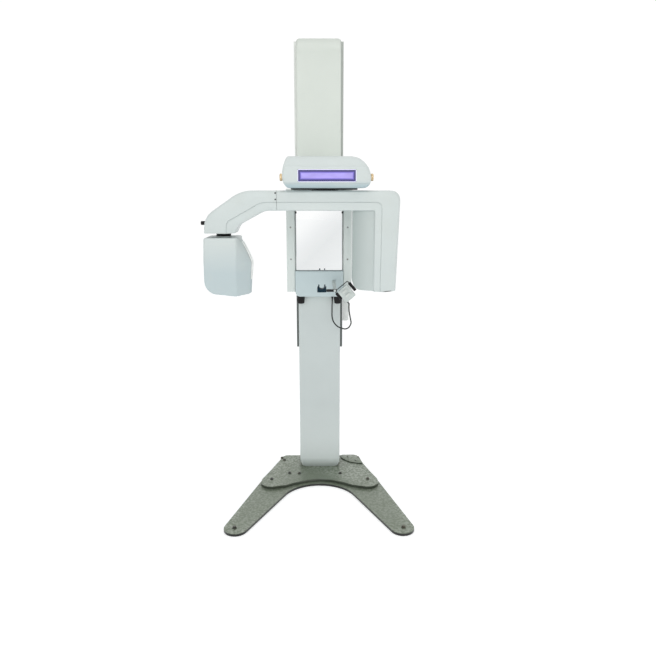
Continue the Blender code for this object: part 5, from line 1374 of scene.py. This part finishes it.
def bent_arm_skin():
    """Arm from the seam, down its slope, to the collar over the tube head."""
    top, low, foot = BENT_HIGH.z, BEAM_FOOT_Z, BENT_LOW.z
    seam, half = SEAM_X - 0.0006, ARM_HALF
    sunk = half - 0.002
    outer = [(seam, half, top, 0), (-0.3330, half, top, 0.050), (-0.4965, half, 1.4460, 0.045),
             (-0.5010, half, foot, 0)]
    line = [(seam, half, 1.509, 0), (-0.2475, half, 1.509, 0.026), (-0.4015, half, 1.4240, 0.020),
            (-0.4035, half, foot, 0)]
    crease = [(seam, sunk, 1.506, 0), (-0.2462, sunk, 1.506, 0.026), (-0.3985, sunk, 1.4215, 0.020),
              (-0.4005, sunk, foot, 0)]
    band = [(seam, 0.066, low + 0.0025, 0), (-0.2357, 0.066, low + 0.0025, 0.022),
            (-0.3530, 0.066, 1.4095, 0.014), (-0.3698, 0.068, foot, 0)]
    step = [(seam, 0.056, low + 0.0002, 0), (-0.2350, 0.056, low + 0.0002, 0.022),
            (-0.3520, 0.056, 1.4087, 0.014), (-0.3682, 0.056, foot, 0)]
    edge = [(seam, 0.050, low, 0), (-0.2350, 0.050, low, 0.022), (-0.3520, 0.050, 1.4085, 0.014),
            (-0.3676, 0.050, foot, 0)]
    return arm_skin((outer, line, crease, band, step, edge), 9, 6)


def arm_covers():
    seam = 0.0005
    lock_low, lock_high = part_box("swivel_lock_knob")
    for node, side in (("arm_front_cover", -1), ("arm_rear_cover", 1)):
        skin = keep_side(main_arm_skin(), (0.0, AXIS_Y + side * seam / 2, 0.0), (0.0, -side, 0.0))
        cover = add_shell(node + "_shell", skin, ARM_HOUSING, "arm", node, 40.0)
        cut(cover, bore(0.0468, 0.02, 64, (AXIS_X, AXIS_Y, ARM_HIGH.z)))
    cover = add_shell("tube_arm_shell", bent_arm_skin(), ARM_HOUSING, "arm", "tube_arm_cover", 40.0)
    lock_z = (lock_low.z + lock_high.z) / 2
    pin_hole = bore(0.0140, 0.02, 40, (SWIVEL_X, AXIS_Y, BENT_LOW.z))
    cut(cover, pin_hole, bore(0.0046, 0.02, 24, (-0.4985, AXIS_Y, lock_z), "+X"))


def arm_fittings():
    """Screw plugs beside the seam, front and rear, and a wear ring on top round the hub."""
    plugs = []
    profile = [(0.0034, 0.0), (0.0034, 0.0005), (0.0026, 0.0008), (0.0022, 0.0002)]
    for z in (1.547, 1.520):
        for side, facing in ((-1, "-Y"), (1, "+Y")):
            face = AXIS_Y + side * ARM_HALF + side * 0.0001
            plugs.append(moved(turned(profile, 32), at((SEAM_X - 0.0050, face, z), facing)))
    add_piece("arm_seam_plugs", joined(*plugs), BLACK, "arm")
    ring = [(0.0490, 0.0), (0.0600, 0.0), (0.0600, 0.0012), (0.0592, 0.0018), (0.0498, 0.0018),
            (0.0490, 0.0012)]
    shape = moved(revolved(ring, 96), at((AXIS_X, AXIS_Y, ARM_HIGH.z + 0.0001)))
    add_piece("hub_wear_ring", shape, BLACK, "arm")


def revolved(section, steps):
    """A ring turned about Z from a closed section of (radius, height) pairs."""
    shape = bmesh.new()
    loops = []
    for i in range(steps):
        a = 2 * math.pi * i / steps
        loops.append([shape.verts.new((r * math.cos(a), r * math.sin(a), z)) for r, z in section])
    for i, near in enumerate(loops):
        far = loops[(i + 1) % steps]
        for k in range(len(section)):
            j = (k + 1) % len(section)
            shape.faces.new((near[k], far[k], far[j], near[j]))
    bmesh.ops.recalc_face_normals(shape, faces=shape.faces)
    return shape


def lock_knob():
    """Black fluted knob that clamps the tube head's swivel."""
    low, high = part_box("swivel_lock_knob")
    middle = (low + high) / 2
    radius = (high.z - low.z) / 2
    base = high.x - 0.0150
    long = base - low.x

    def flute(angle, r, z):
        on_grip = r > radius - 0.0002 and 0.007 < z < long - 0.003
        return 0.0007 * (0.5 + 0.5 * math.cos(10 * angle)) ** 2 if on_grip else 0.0

    profile = [(0.0040, -0.0148), (0.0040, 0.0), (0.0062, 0.0), (0.0062, 0.0046), (radius - 0.0004, 0.0060),
               (radius, 0.0068), (radius, 0.0080), (radius, long - 0.0036), (radius, long - 0.0026),
               (radius - 0.0010, long - 0.0010), (0.0060, long - 0.0002), (0.0024, long - 0.0006)]
    shape = moved(turned(profile, 120, flute), at((base, middle.y, middle.z), "-X"))
    add_piece("swivel_lock_grip", shape, BLACK, "lock_knob", ("swivel_lock_knob",), 40.0)


# ---------------------------------------------------------------- X-ray tube head
NOSE = TUBE_HIGH.x - NOSE_ROOT_X
NOSE_STEPS = ((1.3492, 0.03), (1.340, 0.286), (1.308, 0.556), (1.2765, 0.794), (1.250, 0.960), (1.238, 1.0))
NOSE_FALL = 0.07                 # how fast the nose draws back below its widest height
TUBE_FOOT = (                    # height at the outer side, outer X, height at the inner side, inset
    (1.2000, -0.5050, 1.2000, 0.0), (1.1650, -0.5050, 1.1650, 0.0), (1.1445, -0.5015, 1.1430, 0.0),
    (1.1264, -0.4910, 1.1200, 0.0), (1.1130, -0.4750, 1.1045, 0.0), (1.1095, -0.4680, 1.0998, 0.0012),
    (1.1076, -0.4590, 1.0976, 0.0045), (1.1070, -0.4500, 1.0970, 0.0090),
)


def tube_section(heights, left, right, nose, inset=0.0):
    """Plan section of the tube head: flat front and rear, round corners, a crowned nose on its inner side.

    heights are those of its outer and of its inner side.
    """
    front, rear = TUBE_LOW.y + inset, TUBE_REAR_HIGH.y - inset
    middle = (front + rear) / 2
    corner = 0.011 - min(inset, 0.004)
    nose = max(nose, 0.0015)
    tip = right + nose - inset
    flat = 0.030
    crown = 0.0054 * min(1.0, nose / flat)
    half = arc((left + corner, front + corner), corner, 180.0, 270.0, 6)
    half += [(left + (right - left) * share, front) for share in (0.35, 0.70)]
    turn = 90.0 - math.degrees(math.atan2(nose - crown, middle - flat - front - corner))
    half += arc((right - corner * 0.55, front + corner), corner, 270.0, 270.0 + turn, 6)
    start = Vector(half[-1])
    end = Vector((tip - crown, middle - flat))
    half += [tuple(start.lerp(end, share)) for share in (0.25, 0.50, 0.75, 0.93)]
    half += [(tip - crown * (1 - t) ** 1.6, middle - flat * (1 - t)) for t in (0.08, 0.25, 0.50, 0.75, 0.98)]
    outline = half + [(x, 2 * middle - y) for x, y in reversed(half)]
    outer, inner = heights
    return [(x, y, inner + (outer - inner) * max(0.0, (right - x) / (right - left))) for x, y in outline]


def tube_skin():
    """The casing: a soft top rim, a nose that swells out, and a big curve at the outer lower corner."""
    high = TUBE_HIGH.z
    left, right = TUBE_LOW.x, NOSE_ROOT_X
    rings = []
    for angle in (0.0, 30.0, 60.0, 90.0):
        a = math.radians(angle)
        inset = 0.006 * (1 - math.sin(a))
        z = high - 0.006 * (1 - math.cos(a))
        rings.append(tube_section((z, z), left + 0.004 + inset, right - inset, 0.0, inset))
    for place in smooth_line([(z, share, 0.0) for z, share in NOSE_STEPS], 4)[1:]:
        z, share = place.x, place.y
        lean = 0.004 * max(0.0, min(1.0, (z - 1.25) / 0.10))
        rings.append(tube_section((z, z), left + lean, right, NOSE * min(1.0, share)))
    widest = NOSE_STEPS[-1][0]
    for outer, side, inner, inset in smooth_line([Vector(place) for place in TUBE_FOOT], 4):
        nose = NOSE - NOSE_FALL * (widest - inner)
        rings.append(tube_section((outer, inner), side, right - max(0.0, inset), nose, max(0.0, inset)))
    return loft(rings)


def tube_head():
    seam = 0.0005
    for node, side in (("tube_front_cover", -1), ("tube_rear_cover", 1)):
        skin = keep_side(tube_skin(), (0.0, AXIS_Y + side * seam / 2, 0.0), (0.0, -side, 0.0))
        cover = add_shell(node + "_shell", skin, TUBE_HOUSING, "tube_head", node, 40.0)
        cut(cover, bore(0.0140, 0.02, 40, (SWIVEL_X, AXIS_Y, TUBE_HIGH.z)))
    low, high = COLLAR_LOW, COLLAR_HIGH
    radius = (high.x - low.x) / 2
    top, foot = BENT_LOW.z - 0.0052, TUBE_HIGH.z + 0.0032
    profile = [(0.0118, low.z), (0.0118, foot), (radius - 0.0012, foot), (radius, foot + 0.0010)]
    for i in range(2):
        z = foot + 0.0018 + i * 0.0036
        profile += [(radius, z), (radius - 0.0010, z + 0.0005), (radius - 0.0010, z + 0.0015)]
        profile += [(radius, z + 0.0020)]
    profile += [(radius, top - 0.0008), (radius - 0.0008, top), (0.0118, top), (0.0118, high.z)]
    shape = moved(turned(profile, 72), Matrix.Translation((SWIVEL_X, AXIS_Y, 0.0)))
    add_piece("swivel_bellows", shape, BLACK, "tube_head", ("swivel_collar",), 50.0)
    for name, start, end, r in (("swivel_flange", TUBE_HIGH.z + 0.0003, foot - 0.0002, radius + 0.0030),
                                ("swivel_rim", top + 0.0002, BENT_LOW.z - 0.0005, radius + 0.0010)):
        section = [(0.0122, start), (r, start), (r, end - 0.0006), (r - 0.0006, end), (0.0122, end)]
        ring = moved(revolved(section, 72), Matrix.Translation((SWIVEL_X, AXIS_Y, 0.0)))
        add_piece(name, ring, HOUSING, "tube_head")


def beam_window():
    """Middle line, (x, z), of the narrow strip down the nose where the beam leaves."""
    swell = smooth_line([(z, s, 0.0) for z, s in NOSE_STEPS], 5)
    line = [(NOSE_ROOT_X + NOSE * min(1.0, p.y), p.x) for p in swell]
    line = [p for p in line if 1.240 < p[1] < 1.338]
    widest = NOSE_STEPS[-1][0]
    return line + [(TUBE_HIGH.x - NOSE_FALL * (widest - z), z) for z in (1.230, 1.200, 1.165)]


def nose_strip(name, half, proud, sunk, material):
    """A band down the nose, standing proud of it."""
    line = beam_window()
    rings = []
    for i, (x, z) in enumerate(line):
        before = Vector(line[max(0, i - 1)])
        after = Vector(line[min(len(line) - 1, i + 1)])
        way = (after - before).normalized()
        out = Vector((abs(way.y), -way.x if way.y > 0 else way.x))
        lift = sunk if i in (0, len(line) - 1) else proud
        ring = []
        for share, rise in ((-1.0, -0.0030), (-1.0, lift * 0.6), (-0.94, lift), (-0.5, lift), (0.0, lift),
                            (0.5, lift), (0.94, lift), (1.0, lift * 0.6), (1.0, -0.0030)):
            fall = 0.0054 * (abs(share) * half / 0.030) ** 1.6
            ring.append((x - fall + out.x * rise, AXIS_Y + half * share, z + out.y * rise))
        rings.append(ring)
    add_piece(name, loft(rings), material, "tube_head", (), 50.0)


# ---------------------------------------------------------------- everything else keeps its CAD shape
def dress_cad_nodes():
    """Gives each CAD node that still shows the node material of its record slot."""
    for node in NODES.values():
        if node.hide_render:
            continue
        for slot in node.material_slots:
            look = SLOT_LOOKS.get(slot.material.name.split(".")[0]) if slot.material else None
            slot.material = look or ALLOY


def build():
    set_camera()
    pad_lead()
    base_plates()
    base_fasteners()
    corner_plate()
    column_front()
    column_rear()
    column_trim()
    side_covers()
    mirror()
    console()
    console_knobs()
    chin_rest()
    control_pad()
    pad_bail()
    head_covers()
    head_window()
    head_gap_shade()
    side_knobs()
    arm_covers()
    arm_fittings()
    lock_knob()
    tube_head()
    nose_strip("beam_window_seal", 0.0262, 0.0010, 0.0004, DARK_GREY)
    nose_strip("beam_window_strip", 0.0240, 0.0030, 0.0012, GUARD)
    dress_cad_nodes()
    set_light()
    add_floor()


build()
